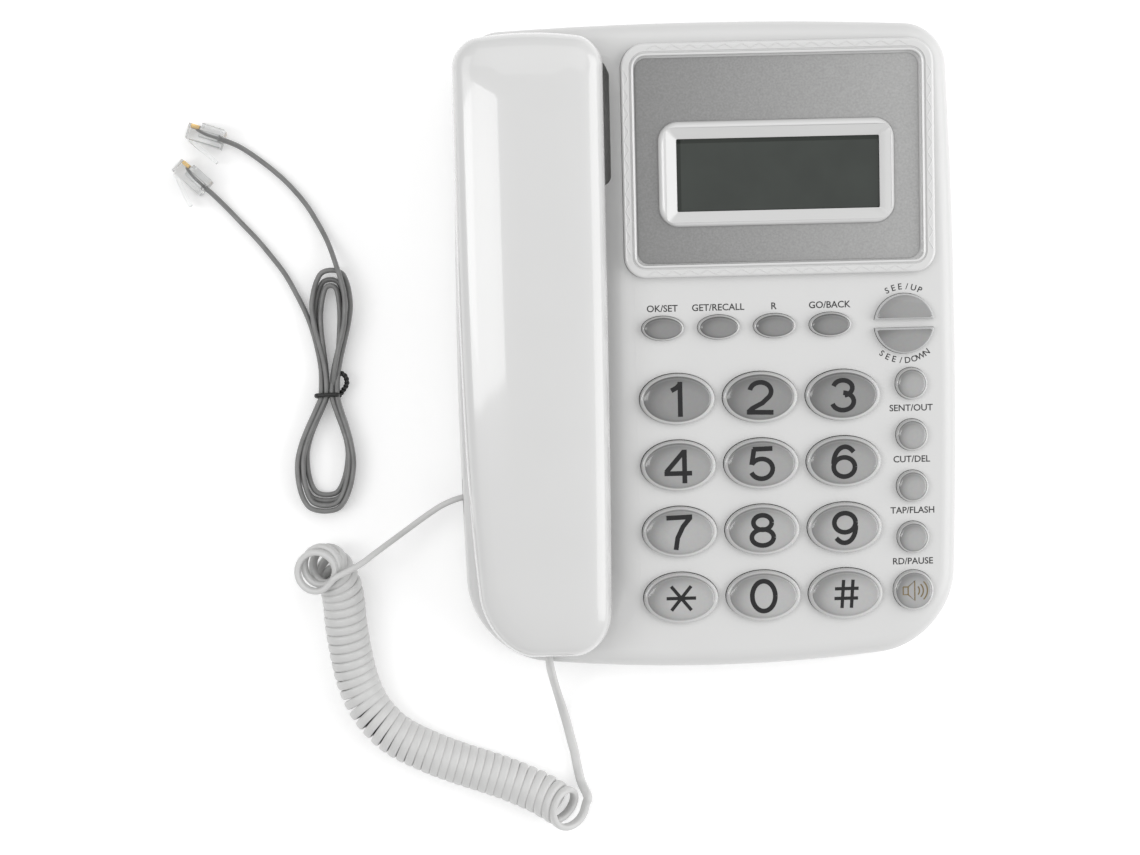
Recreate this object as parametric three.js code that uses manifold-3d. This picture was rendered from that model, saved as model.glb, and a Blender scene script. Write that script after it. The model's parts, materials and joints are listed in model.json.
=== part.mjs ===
// A corded desk telephone: a wedge-shaped base with a keypad and a display, a handset in a cradle
// on its left, a curly handset cord, and a separate line cord folded into a hank beside it.
// Millimetres, +Z up, +X right, +Y towards the rear. The origin is on the table under the middle.

import * as THREE from 'three';
import { mergeVertices } from 'three/addons/utils/BufferGeometryUtils.js';
import Module from 'manifold-3d';

const wasm = await Module();
wasm.setup();

// ---------------------------------------------------------------- driving dimensions

const GAP = 0.3; // clearance between pieces that touch
const WALL = 2.2; // thickness of the moulded covers

const BASE = { left: -81, right: 81, front: -101.2, rear: 104.86, frontRadius: 24, rearRadius: 13 };
const SIDE_BULGE = 0.031; // how far the sides, the front and the rear bow out, as a share of the half size
const FRONT_BULGE = 0.06;
const REAR_BULGE = 0.023;
const SKIRT_Z = 2.5; // lower edge of the base covers above the table
const SKIRT_DRAFT = 1.5;
const DECK_FILLET = 5;
const DECK_TILT = THREE.MathUtils.degToRad(6); // the deck rises towards the rear
const DECK_Z = 35; // height of the deck plane above the origin

const HANDSET = { left: -82, right: -32.7, front: -100.7, rear: 100.1, frontRadius: 19, rearRadius: 8 };
const HANDSET_MIDDLE = -57.35;
const HANDSET_TAPER = 0.23; // narrowing of the front end, as a share of the half width
const PARTING_W = 8; // height of the handset's parting line above the deck
const HANDSET_TOP_W = 18.2;
const HANDSET_WALL = 2;

const TROUGH = { left: -77.8, right: -31, front: -97.5, rear: 97, frontRadius: 19, rearRadius: 9 };
const TROUGH_FLOOR_W = -9;
const EAR_POCKET = { left: -76.5, right: -29.5, front: 50, rear: 96.5, frontRadius: 12, rearRadius: 9 };
const MOUTH_POCKET = { left: -76, right: -34, front: -96.5, rear: -58, frontRadius: 17, rearRadius: 8 };
const EAR_FLOOR_W = -12;
const MOUTH_FLOOR_W = -11;

const FRAME = { left: -27.2, right: 75.1, front: 22.5, rear: 98.9, frontRadius: 7, rearRadius: 8 };
const PANEL = { left: -22.9, right: 70.4, front: 26.8, rear: 94.3, frontRadius: 4, rearRadius: 4 };
const RING = { left: -15.4, right: 61.9, front: 39, rear: 73.3, frontRadius: 6.5, rearRadius: 6.5 };
const WINDOW = { left: -9.4, right: 57.2, front: 43.9, rear: 67.6, frontRadius: 1.6, rearRadius: 1.6 };
const FRAME_TOP_W = 3;
const FRAME_FOOT_W = -4;
const FRAME_PLATE_W = 0.3; // top of the plate that carries the silver panel

const KEY = { width: 24.8, length: 16.9, points: 18 };
const KEY_COLUMNS = [-10.8, 16.6, 44];
const KEY_ROWS = [-17.8, -39.85, -61.9, -83.95];
const KEY_NAMES = [
  ['key_1', 'key_2', 'key_3'],
  ['key_4', 'key_5', 'key_6'],
  ['key_7', 'key_8', 'key_9'],
  ['key_star', 'key_0', 'key_hash'],
];
const SMALL_KEY = { width: 13.9, length: 8, points: 14 };
const SMALL_KEY_PITCH = 18.43;
const SMALL_KEY_FIRST = [-15, 5.6];
const SMALL_KEY_NAMES = ['set_key', 'recall_key', 'register_key', 'back_key'];
const SCROLL = { u: 64.7, v: 5.3, radius: 9.9, bar: 2.8, points: 12 };
const ROUND_KEY = { u: 66.8, first: -14.6, pitch: 17.05, diameter: 10.5, points: 12 };
const ROUND_KEY_NAMES = ['out_key', 'delete_key', 'flash_key', 'redial_key'];
const SPEAKER_KEY = { u: 66.7, v: -83.5, diameter: 13.3 };
const KEY_TOP_W = 2.5;
const KEY_SHOULDER_W = 1.6;
const KEY_FLANGE = { out: 1, top: -WALL - GAP, bottom: -WALL - GAP - 1 };
const KEY_CLEARANCE = 0.35;
const MEMBRANE = { left: -27, right: 75.4, front: -92.6, rear: 17.5, top: -5.4, thickness: 1.2 };
const BOARD = { left: -27, right: 74, front: -90, rear: 97, top: -11, thickness: 1.6 };

const FLOOR_THICKNESS = 2;
const TRAY_RIM_Z = 8;
const FOOT = { radius: 6, z: 2.2 };
const FEET = [[-62, -80], [62, -84], [-66, 88], [66, 88]];
const SCREWS = [[-57, -30], [30, -97]];
const SCREW = { head: 3, shank: 1.5, length: 9, headHeight: 1.8 };
const BOSS_RADIUS = 3.5;
const SPEAKER = { x: 24, y: 52, radius: 20, coneRadius: 11, z: 4.8, height: 11, rim: 2.5 };
const SOUND_SLOTS = { perSide: 3, pitch: 4.6, width: 1.8, reach: 17 };
const MICROPHONE = { radius: 4.8, length: 5, x: 58, y: -96, z: 14.2 };

const PLUNGER = { u: -57.3, v: 40, width: 8, length: 11, top: -2.35, bottom: -20.5 };
const SIDE_JACK = { y: -48.1, z: 10.8, outer: -80.4, depth: 15, width: 11.4, height: 9.4 };
const PLUG_SMALL = { width: 7.6, height: 6.5, length: 12 };
const LINE_JACK = { x: 44, z: 15, rear: 105.4, depth: 17, width: 13.6, height: 11.6 };
const LINE_SOCKET = { width: 10, height: 7, depth: 13 };
const END_JACK = { u: -55.2, w: 3.7, outer: -94.2, depth: 14.5, width: 11, height: 8 };

const LINE_PLUG = { length: 12.2, height: 6.6, width: 9.65 };
const CURLY = { coil: 14.6, cord: 3.4 };
const LINE_CORD = { diameter: 3.6 };

// ---------------------------------------------------------------- materials

function finish(color, roughness, metalness = 0) {
  return new THREE.MeshStandardMaterial({ color, roughness, metalness });
}
const white = finish(0xe9e9e8, 0.22);
const shadowWhite = finish(0xdededd, 0.35);
const silver = finish(0x9c9c9b, 0.38, 0.6);
const clearKey = finish(0xa9aaab, 0.12);
const glassDark = finish(0x454b46, 0.1);
const lcdGreen = finish(0x5a625b, 0.3);
const clearPlug = finish(0xd4d6d6, 0.08);
const greyRubber = finish(0x8a8a88, 0.75);
const boardGreen = finish(0x2d5a3a, 0.5);
const blackPlastic = finish(0x1d1d1e, 0.45);
const steel = finish(0xb5b7b9, 0.3, 1);
const curlyGrey = finish(0xd2d2d1, 0.45);
const flatGrey = finish(0x858584, 0.5);

// ---------------------------------------------------------------- solids

// Points of a rounded rectangle, counter-clockwise from its front right corner.
function roundedOutline(box, inset = 0, arcSteps = 6, sideSteps = 1) {
  const left = box.left + inset;
  const right = box.right - inset;
  const front = box.front + inset;
  const rear = box.rear - inset;
  const fr = Math.max(box.frontRadius - inset, 0.5);
  const rr = Math.max(box.rearRadius - inset, 0.5);
  const corners = [
    { x: right - fr, y: front + fr, r: fr, turn: -Math.PI / 2 },
    { x: right - rr, y: rear - rr, r: rr, turn: 0 },
    { x: left + rr, y: rear - rr, r: rr, turn: Math.PI / 2 },
    { x: left + fr, y: front + fr, r: fr, turn: Math.PI },
  ];
  const points = [];
  for (const corner of corners) {
    for (let i = 0; i <= arcSteps; i += 1) {
      const angle = corner.turn + (i / arcSteps) * (Math.PI / 2);
      const x = corner.x + corner.r * Math.cos(angle);
      points.push(new THREE.Vector2(x, corner.y + corner.r * Math.sin(angle)));
    }
  }
  return splitSides(points, arcSteps, sideSteps);
}

// Adds evenly spaced points on the straight sides, so that they can be bowed.
function splitSides(points, arcSteps, sideSteps) {
  const result = [];
  points.forEach((point, i) => {
    result.push(point);
    if (i % (arcSteps + 1) === arcSteps) {
      const next = points[(i + 1) % points.length];
      for (let k = 1; k < sideSteps; k += 1) {
        result.push(point.clone().lerp(next, k / sideSteps));
      }
    }
  });
  return result;
}

function ellipse(width, length, count, inset = 0) {
  const points = [];
  for (let i = 0; i < count; i += 1) {
    const angle = (i / count) * 2 * Math.PI;
    const x = (width / 2 - inset) * Math.cos(angle);
    points.push(new THREE.Vector2(x, (length / 2 - inset) * Math.sin(angle)));
  }
  return points;
}

// A closed solid through rings of points, from the lowest ring to the highest. Every ring has the
// same number of points, counter-clockwise as seen from above.
function loft(rings) {
  const count = rings[0].length;
  const positions = rings.flat().flatMap((p) => [p.x, p.y, p.z]);
  const index = [];
  for (let k = 0; k + 1 < rings.length; k += 1) {
    for (let i = 0; i < count; i += 1) {
      const a = k * count + i;
      const b = k * count + ((i + 1) % count);
      index.push(a, b, b + count, a, b + count, a + count);
    }
  }
  const cap = (ring) => THREE.ShapeUtils.triangulateShape(ring.map((p) => new THREE.Vector2(p.x, p.y)), []);
  cap(rings[0]).forEach(([a, b, c]) => index.push(c, b, a));
  const top = (rings.length - 1) * count;
  cap(rings.at(-1)).forEach(([a, b, c]) => index.push(top + a, top + b, top + c));
  const geometry = new THREE.BufferGeometry();
  geometry.setAttribute('position', new THREE.Float32BufferAttribute(positions, 3));
  geometry.setIndex(index);
  return geometry;
}

function ringAt(outline, z) {
  return outline.map((p) => new THREE.Vector3(p.x, p.y, z));
}

// A loft of one outline function at several insets: levels are [height, inset] from the bottom up.
function stack(outlineAt, levels) {
  return loft(levels.map(([z, inset]) => ringAt(outlineAt(inset), z)));
}

function prism(outline, bottom, top) {
  return loft([ringAt(outline, bottom), ringAt(outline, top)]);
}

function block(x0, x1, y0, y1, z0, z1) {
  const box = new THREE.BoxGeometry(x1 - x0, y1 - y0, z1 - z0);
  return box.translate((x0 + x1) / 2, (y0 + y1) / 2, (z0 + z1) / 2);
}

function upright(radiusTop, radiusBottom, bottom, top, sides = 16) {
  const geometry = new THREE.CylinderGeometry(radiusTop, radiusBottom, top - bottom, sides);
  return geometry.rotateX(Math.PI / 2).translate(0, 0, (top + bottom) / 2);
}

// A solid turned about the upright axis through a profile of [radius, height] pairs.
function turned(profile, sides) {
  const lathe = new THREE.LatheGeometry(profile.map(([r, z]) => new THREE.Vector2(r, z)), sides);
  return lathe.rotateX(Math.PI / 2);
}

function solidOf(geometry) {
  const bare = geometry.clone();
  bare.deleteAttribute('normal');
  bare.deleteAttribute('uv');
  const whole = mergeVertices(bare, 1e-4);
  const vertProperties = new Float32Array(whole.attributes.position.array);
  const triVerts = new Uint32Array(whole.index.array);
  return new wasm.Manifold(new wasm.Mesh({ numProp: 3, vertProperties, triVerts }));
}

function geometryOf(solid) {
  const { vertProperties, triVerts } = solid.getMesh();
  const geometry = new THREE.BufferGeometry();
  geometry.setAttribute('position', new THREE.BufferAttribute(vertProperties, 3));
  geometry.setIndex(new THREE.BufferAttribute(triVerts, 1));
  return geometry;
}

function cut(body, ...tools) {
  return tools.reduce((solid, tool) => solid.subtract(solidOf(tool)), solidOf(body));
}

function meshOf(name, shape, material) {
  const geometry = shape.isBufferGeometry ? shape : geometryOf(shape);
  const mesh = new THREE.Mesh(geometry, material);
  mesh.name = name;
  return mesh;
}

// ---------------------------------------------------------------- the deck's own frame

const deckMatrix = new THREE.Matrix4().makeRotationX(DECK_TILT).setPosition(0, 0, DECK_Z);

function onDeck(geometry) {
  return geometry.clone().applyMatrix4(deckMatrix);
}

function deckHeight(y) {
  return DECK_Z + y * Math.tan(DECK_TILT);
}

// ---------------------------------------------------------------- base covers

function baseOutline(inset) {
  const halfWidth = BASE.right - inset;
  return roundedOutline(BASE, inset, 5, 5).map((p) => {
    const yBulge = p.y < 0 ? FRONT_BULGE : REAR_BULGE;
    const half = (p.y < 0 ? -BASE.front : BASE.rear) - inset;
    const x = p.x * (1 + SIDE_BULGE * (1 - Math.min(1, (p.y / half) ** 2)));
    return new THREE.Vector2(x, p.y * (1 + yBulge * (1 - Math.min(1, (p.x / halfWidth) ** 2))));
  });
}

// The wedge: a drafted skirt from the lower edge, a round shoulder, and the sloping flat deck.
function wedge(inset, bottom, lowered) {
  const rings = [ringAt(baseOutline(inset), bottom)];
  for (let step = 0; step <= 3; step += 1) {
    const angle = (step / 3) * (Math.PI / 2);
    const radius = DECK_FILLET - lowered;
    const edge = baseOutline(inset + SKIRT_DRAFT + radius * (1 - Math.cos(angle)));
    const drop = lowered + radius * (1 - Math.sin(angle));
    rings.push(edge.map((p) => new THREE.Vector3(p.x, p.y, deckHeight(p.y) - drop)));
  }
  return loft(rings);
}

// The cradle's hollow between the handset and the keypad, which falls away in a long soft curve.
function cradleCurve(grow) {
  const levels = [[-9, -34.5], [-6, -31.2], [-3, -28.2], [-1.2, -25.4], [-0.3, -23], [1.5, -21]];
  const rings = levels.map(([w, right], i) => {
    const box = { left: -70, right: right + grow, front: -95 - grow, rear: 48 + grow };
    const outline = roundedOutline({ ...box, frontRadius: 16, rearRadius: 12 }, 0, 4);
    return ringAt(outline, i === 0 ? w - grow : w);
  });
  return loft(rings);
}

function pocket(box, floorW, grow) {
  const outlineAt = (inset) => roundedOutline(box, inset - grow, 4);
  return stack(outlineAt, [[floorW - grow, 3], [floorW + 2, 1.2], [1.5, 0]]);
}

function cradleHollows(grow) {
  return [
    pocket(TROUGH, TROUGH_FLOOR_W, grow),
    pocket(EAR_POCKET, EAR_FLOOR_W, grow),
    pocket(MOUTH_POCKET, MOUTH_FLOOR_W, grow),
    cradleCurve(grow),
  ].map(onDeck);
}

function halfMoon(grow) {
  const points = [];
  const chord = SCROLL.bar / 2 - grow;
  const radius = SCROLL.radius + grow;
  const start = Math.asin(chord / radius);
  for (let i = 0; i < SCROLL.points; i += 1) {
    const angle = start + (i / (SCROLL.points - 1)) * (Math.PI - 2 * start);
    points.push(new THREE.Vector2(radius * Math.cos(angle), radius * Math.sin(angle)));
  }
  return points;
}

// Every key: its name, its place on the deck and its outline, which grows by a clearance.
function keyList() {
  const keys = [];
  KEY_NAMES.forEach((row, r) => row.forEach((name, c) => {
    const outline = (grow) => ellipse(KEY.width, KEY.length, KEY.points, -grow);
    keys.push({ name, u: KEY_COLUMNS[c], v: KEY_ROWS[r], turn: 0, outline });
  }));
  SMALL_KEY_NAMES.forEach((name, i) => {
    const outline = (grow) => ellipse(SMALL_KEY.width, SMALL_KEY.length, SMALL_KEY.points, -grow);
    keys.push({ name, u: SMALL_KEY_FIRST[0] + i * SMALL_KEY_PITCH, v: SMALL_KEY_FIRST[1], turn: 0, outline });
  });
  ['up_key', 'down_key'].forEach((name, i) => {
    keys.push({ name, u: SCROLL.u, v: SCROLL.v, turn: i * Math.PI, outline: halfMoon });
  });
  ROUND_KEY_NAMES.forEach((name, i) => {
    const outline = (grow) => ellipse(ROUND_KEY.diameter, ROUND_KEY.diameter, ROUND_KEY.points, -grow);
    keys.push({ name, u: ROUND_KEY.u, v: ROUND_KEY.first - i * ROUND_KEY.pitch, turn: 0, outline });
  });
  const big = (grow) => ellipse(SPEAKER_KEY.diameter, SPEAKER_KEY.diameter, 14, -grow);
  keys.push({ name: 'speaker_key', u: SPEAKER_KEY.u, v: SPEAKER_KEY.v, turn: 0, outline: big });
  return keys;
}

function keyHole(key) {
  const hole = prism(key.outline(KEY_CLEARANCE), -WALL - 1, 1);
  return onDeck(hole.rotateZ(key.turn).translate(key.u, key.v, 0));
}

// The ledge inside the deck that carries the display frame.
function displaySeat() {
  const outer = prism(roundedOutline(FRAME, -GAP - WALL, 4), FRAME_FOOT_W - GAP - 2, -1);
  return onDeck(outer);
}

function displayHoles() {
  const recess = prism(roundedOutline(FRAME, -GAP, 5), FRAME_FOOT_W - GAP, 2);
  const through = prism(roundedOutline(FRAME, 3, 4), FRAME_FOOT_W - 6, 2);
  return [recess, through].map(onDeck);
}

function baseTopCover() {
  const outside = solidOf(wedge(0, SKIRT_Z, 0));
  let cover = outside.subtract(solidOf(wedge(WALL, SKIRT_Z - 1, WALL)));
  for (const pan of cradleHollows(WALL)) cover = cover.add(solidOf(pan).intersect(outside));
  cover = cover.add(solidOf(displaySeat()));
  for (const [x, y] of SCREWS) {
    const boss = upright(BOSS_RADIUS, BOSS_RADIUS, SKIRT_Z + FLOOR_THICKNESS + GAP, deckHeight(y) - 1, 14);
    cover = cover.add(solidOf(boss.translate(x, y, 0)));
  }
  for (const hollow of cradleHollows(0)) cover = cover.subtract(solidOf(hollow));
  for (const hole of displayHoles()) cover = cover.subtract(solidOf(hole));
  for (const key of keyList()) cover = cover.subtract(solidOf(keyHole(key)));
  for (const [x, y] of SCREWS) {
    const bore = upright(SCREW.shank + GAP, SCREW.shank + GAP, 0, SKIRT_Z + SCREW.length + 2, 12);
    cover = cover.subtract(solidOf(bore.translate(x, y, 0)));
  }
  const guide = plungerShape(KEY_CLEARANCE, PLUNGER.top + 4);
  cover = cover.subtract(solidOf(onDeck(guide)));
  cover = cover.subtract(solidOf(sideJackBlock(GAP, 8)));
  return cover.subtract(solidOf(lineJackBlock(GAP, 8)));
}

function baseBottomCover() {
  const inset = WALL + GAP;
  const outer = stack((d) => baseOutline(inset + d), [[SKIRT_Z, 0], [TRAY_RIM_Z, 0.4]]);
  const inner = stack((d) => baseOutline(inset + d), [[SKIRT_Z + FLOOR_THICKNESS, 2], [TRAY_RIM_Z + 1, 2.4]]);
  let tray = cut(outer, inner);
  for (const [x, y] of SCREWS) {
    const head = upright(SCREW.head + GAP, SCREW.head + GAP, SKIRT_Z - 1, SKIRT_Z + 1, 14);
    const hole = upright(SCREW.shank + GAP, SCREW.shank + GAP, SKIRT_Z - 1, SKIRT_Z + 4, 12);
    tray = tray.subtract(solidOf(head.translate(x, y, 0)));
    tray = tray.subtract(solidOf(hole.translate(x, y, 0)));
  }
  const { perSide, pitch, width, reach } = SOUND_SLOTS;
  for (let i = -perSide; i <= perSide; i += 1) {
    const half = Math.sqrt(reach ** 2 - (i * pitch) ** 2);
    const x = SPEAKER.x + i * pitch;
    const slot = block(x - width / 2, x + width / 2, SPEAKER.y - half, SPEAKER.y + half, 0, TRAY_RIM_Z - 2);
    tray = tray.subtract(solidOf(slot));
  }
  tray = tray.subtract(solidOf(sideJackBlock(GAP, 8)));
  return tray.subtract(solidOf(lineJackBlock(GAP, 8)));
}

// ---------------------------------------------------------------- keys and what is under them

function keyShape(key) {
  const { out, top, bottom } = KEY_FLANGE;
  const crown = (KEY_TOP_W - KEY_SHOULDER_W) * 1.2;
  const levels = [[bottom, -out], [top, -out], [top, 0], [KEY_SHOULDER_W, 0], [KEY_TOP_W, crown]];
  const shape = stack((inset) => key.outline(-inset), levels);
  return shape.rotateZ(key.turn);
}

function keyMesh(key) {
  const mesh = meshOf(key.name, keyShape(key), clearKey);
  mesh.position.set(key.u, key.v, 0);
  return mesh;
}

function keyMembrane() {
  const box = { ...MEMBRANE, frontRadius: 16, rearRadius: 4 };
  return prism(roundedOutline(box, 0, 4), MEMBRANE.top - MEMBRANE.thickness, MEMBRANE.top);
}

function mainBoard() {
  const box = { ...BOARD, frontRadius: 16, rearRadius: 8 };
  return prism(roundedOutline(box, 0, 4), BOARD.top - BOARD.thickness, BOARD.top);
}

// ---------------------------------------------------------------- display

function displayFrame() {
  const bodyLevels = [[FRAME_FOOT_W, 0], [FRAME_TOP_W - 1, 0], [FRAME_TOP_W, 1]];
  const body = stack((d) => roundedOutline(FRAME, d), bodyLevels);
  const recess = stack((d) => roundedOutline(PANEL, d), [[FRAME_PLATE_W, 0], [FRAME_TOP_W + 1, -1.4]]);
  const below = prism(roundedOutline(FRAME, 2), FRAME_FOOT_W - 1, -1.5);
  const ring = stack((d) => roundedOutline(RING, d), [[-1, 0], [1.8, 0], [FRAME_TOP_W + 0.4, 1.6]]);
  const opening = stack((d) => roundedOutline(WINDOW, d), [[-3, 0], [0.6, 0], [FRAME_TOP_W + 0.8, -4.2]]);
  return cut(body, recess, below).add(solidOf(ring)).subtract(solidOf(opening));
}

function displayPanel() {
  const plate = prism(roundedOutline(PANEL, GAP), FRAME_PLATE_W + GAP, FRAME_PLATE_W + GAP + 0.8);
  return cut(plate, prism(roundedOutline(RING, -GAP), -1, 3));
}

function lcdWindow() {
  return prism(roundedOutline(WINDOW, GAP, 3), -1.1, 0.1);
}

function lcdModule() {
  const { left, right, front, rear } = WINDOW;
  return block(left - 3, right + 3, front - 4, rear + 4, -6, -1.9);
}

// ---------------------------------------------------------------- hook, sound, jacks

function plungerShape(grow, top) {
  const box = {
    left: PLUNGER.u - PLUNGER.width / 2,
    right: PLUNGER.u + PLUNGER.width / 2,
    front: PLUNGER.v - PLUNGER.length / 2,
    rear: PLUNGER.v + PLUNGER.length / 2,
    frontRadius: 2,
    rearRadius: 2,
  };
  return stack((d) => roundedOutline(box, d - grow, 3), [[PLUNGER.bottom, 0], [top - 1, 0], [top, 0.8]]);
}

function hookSwitch() {
  const top = deckHeight(PLUNGER.v) + PLUNGER.bottom - 2.2;
  return block(PLUNGER.u - 4, PLUNGER.u + 4, 32, 52, SKIRT_Z + FLOOR_THICKNESS + GAP, top);
}

function loudspeaker() {
  const { radius, coneRadius: cone, height, rim } = SPEAKER;
  const profile = [[0, 0], [radius, 0], [radius, rim], [cone, height - 4], [cone, height], [0, height]];
  return turned(profile, 24).translate(SPEAKER.x, SPEAKER.y, SPEAKER.z);
}

function baseMicrophone() {
  const { radius, length, x, y, z } = MICROPHONE;
  return new THREE.CylinderGeometry(radius, radius, length, 16).translate(x, y, z);
}

// The outside of the handset cord's jack in the left wall, and of the line jack in the rear wall.
function sideJackBlock(grow, beyond = 0) {
  const { y, z, outer, depth, width, height } = SIDE_JACK;
  const x0 = outer - beyond;
  const half = width / 2 + grow;
  return block(x0, outer + depth + grow, y - half, y + half, z - height / 2 - grow, z + height / 2 + grow);
}

function lineJackBlock(grow, beyond = 0) {
  const { x, z, rear, depth, width, height } = LINE_JACK;
  const half = width / 2 + grow;
  const low = z - height / 2 - grow;
  return block(x - half, x + half, rear - depth - grow, rear + beyond, low, z + height / 2 + grow);
}

function handsetJack() {
  const { y, z, outer } = SIDE_JACK;
  const half = PLUG_SMALL.width / 2 + GAP;
  const rise = PLUG_SMALL.height / 2 + GAP;
  const socket = block(outer - 1, outer + PLUG_SMALL.length + GAP, y - half, y + half, z - rise, z + rise);
  return cut(sideJackBlock(0), socket);
}

function lineJack() {
  const { x, z, rear } = LINE_JACK;
  const { width, height, depth } = LINE_SOCKET;
  const half = width / 2;
  const socket = block(x - half, x + half, rear - depth, rear + 1, z - height / 2, z + height / 2);
  const latch = block(x - 3.2, x + 3.2, rear - depth, rear + 1, z - height / 2 - 1.6, z);
  return cut(lineJackBlock(0), socket, latch);
}

// ---------------------------------------------------------------- handset

function handsetOutline(inset) {
  return roundedOutline(HANDSET, inset, 6, 5).map((p) => {
    const t = (HANDSET.rear - p.y) / (HANDSET.rear - HANDSET.front);
    const narrow = 1 - HANDSET_TAPER * t ** 4;
    const shift = 1.1 * t ** 4;
    return new THREE.Vector2(HANDSET_MIDDLE + shift + (p.x - HANDSET_MIDDLE) * narrow, p.y);
  });
}

function handsetBackCover() {
  const outer = stack(handsetOutline, [
    [PARTING_W, 0], [12.5, 0.5], [15.2, 2], [16.7, 5], [17.7, 10], [HANDSET_TOP_W, 16],
  ]);
  const inner = stack(handsetOutline, [
    [PARTING_W - 1, HANDSET_WALL], [12, 2.6], [14.6, 5], [HANDSET_TOP_W - HANDSET_WALL, 14],
  ]);
  return cut(outer, inner);
}

function bulge(box, floorW, inset) {
  return stack((d) => roundedOutline(box, d + inset, 5), [[floorW, 3.5], [floorW + 2, 1.2], [0.5, 0]]);
}

const EAR_BULGE = { left: -74.2, right: -38.6, front: 54, rear: 92.6, frontRadius: 14, rearRadius: 7 };
const MOUTH_BULGE = { left: -73.2, right: -40.6, front: -92.4, rear: -62, frontRadius: 13, rearRadius: 9 };
const EAR_HOLES = { u: -56.6, v: 73.5, circle: 6, count: 6 };
const MOUTH_HOLES = { u: -56.9, v: -77, circle: 2.4, count: 3 };
const HOLE_RADIUS = 1;

function endJackBlock(grow, beyond = 0) {
  const { u, w, outer, depth, width, height } = END_JACK;
  const half = width / 2 + grow;
  const rise = height / 2 + grow;
  return block(u - half, u + half, outer - beyond, outer + depth + grow, w - rise, w + rise);
}

function handsetFrontCover() {
  const top = PARTING_W - GAP;
  const outer = stack(handsetOutline, [[-2, 8], [0, 5.6], [2.5, 3.6], [5, 1.3], [top, 0]]);
  const inner = stack(handsetOutline, [[0, 9.5], [2, 6.6], [5.4, 3.4], [top + 1, HANDSET_WALL]]);
  let cover = solidOf(outer).add(solidOf(bulge(EAR_BULGE, -8.5, 0))).add(solidOf(bulge(MOUTH_BULGE, -7, 0)));
  cover = cover.subtract(solidOf(inner));
  cover = cover.subtract(solidOf(bulge(EAR_BULGE, -6.5, HANDSET_WALL)));
  cover = cover.subtract(solidOf(bulge(MOUTH_BULGE, -5, HANDSET_WALL)));
  cover = cover.subtract(solidOf(endJackBlock(GAP, 8)));
  for (const { u, v, circle: around, count } of [EAR_HOLES, MOUTH_HOLES]) {
    for (let i = 0; i < count; i += 1) {
      const angle = (i / count) * 2 * Math.PI;
      const bore = upright(HOLE_RADIUS, HOLE_RADIUS, -10, -4, 6);
      bore.translate(u + around * Math.cos(angle), v + around * Math.sin(angle), 0);
      cover = cover.subtract(solidOf(bore));
    }
  }
  return cover;
}

function handsetCordJack() {
  const { u, w, outer } = END_JACK;
  const half = PLUG_SMALL.width / 2 + GAP;
  const rise = PLUG_SMALL.height / 2 + GAP;
  const socket = block(u - half, u + half, outer - 1, outer + PLUG_SMALL.length + GAP, w - rise, w + rise);
  return cut(endJackBlock(0), socket);
}

function earpieceCapsule() {
  const profile = [[0, 0], [12, 0], [12, 4], [9, 5.6], [9, 7.6], [0, 7.6]];
  return turned(profile, 18).translate(EAR_HOLES.u, EAR_HOLES.v, -5.6);
}

function handsetMicrophone() {
  const { radius } = MICROPHONE;
  return upright(radius, radius, -4.6, 1, 16).translate(MOUTH_HOLES.u, MOUTH_HOLES.v + 4.5, 0);
}

function handsetWeight() {
  return block(-66.5, -48.5, -28, 32, 0.4, 6.4);
}

// ---------------------------------------------------------------- cords

function circle(diameter, sides) {
  return new THREE.Shape(ellipse(diameter, diameter, sides));
}

// A closed tube along a smooth curve through the given points.
function tubeAlong(points, diameter, sides, steps) {
  const places = points.map(([x, y, z]) => new THREE.Vector3(x, y, z));
  const extrudePath = new THREE.CatmullRomCurve3(places, false, 'centripetal');
  return new THREE.ExtrudeGeometry(circle(diameter, sides), { extrudePath, steps, bevelEnabled: false });
}

const COIL_ROUTE = [
  [-131.8, -75.6, 13.2], [-128.2, -78.4, 10], [-125.3, -84.6, 7.9], [-124, -94.5, 7.6],
  [-122, -105.7, 7.6],
  [-119.3, -114.2, 7.6], [-115.8, -120.4, 7.6], [-111, -125.6, 7.6], [-105.4, -129.8, 7.6], [-96, -134.2, 7.6],
  [-86, -138.2, 7.6], [-72.5, -142.9, 7.6], [-65.8, -145.4, 7.6], [-54.3, -150.9, 7.8], [-49, -154.6, 8.4],
];
const BASE_LEAD_ROUTE = [
  [-84.4, -48.1, 10.8], [-87.6, -49.4, 10.4], [-90.9, -51.2, 9.6], [-97.3, -55.4, 8.4], [-104.2, -60.4, 9.4],
  [-111.1, -65.4, 12.8], [-117.6, -69.6, 16.6], [-121.8, -71.8, 18.6],
];
const HANDSET_LEAD_ROUTE = [
  [-55.2, -102.2, 26.9], [-55, -106.6, 25.8], [-54.2, -110.6, 20], [-53.2, -113.8, 11], [-51.8, -118.4, 4.6],
  [-49.3, -126.3, 2.4], [-46.8, -134.8, 2.4], [-45.3, -141.2, 5], [-44.4, -146.2, 8.6],
];
const LINE_LEAD_1_ROUTE = [
  [-160.2, 74.5, 4.9], [-157.6, 73.5, 3.6], [-155.4, 72.3, 2.4], [-149.1, 68.6, 2], [-142.4, 62.6, 2],
  [-135.8, 54.4, 2], [-131, 45.5, 2.2], [-129.2, 39, 3], [-128, 33.5, 4.4],
];
const LINE_LEAD_2_ROUTE = [
  [-166.6, 58.4, 4.9], [-164.6, 56.4, 3.6], [-162.4, 54, 2.4], [-156.4, 47.6, 2], [-149.8, 39.2, 2],
  [-143.6, 30, 2], [-140.2, 24, 2], [-137.2, 19.4, 2],
];

// The hank's outline: two long drop-shaped loops that meet in a narrow neck under the tie.
const HANK = { x: -127.3, y: -12.4, turn: 0.045, top: 43.4, bottom: -40.2, neck: 3.4, bottomZ: 1.2, topZ: 7 };
const TIE = { width: 2.2, wall: 0.7 };

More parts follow.
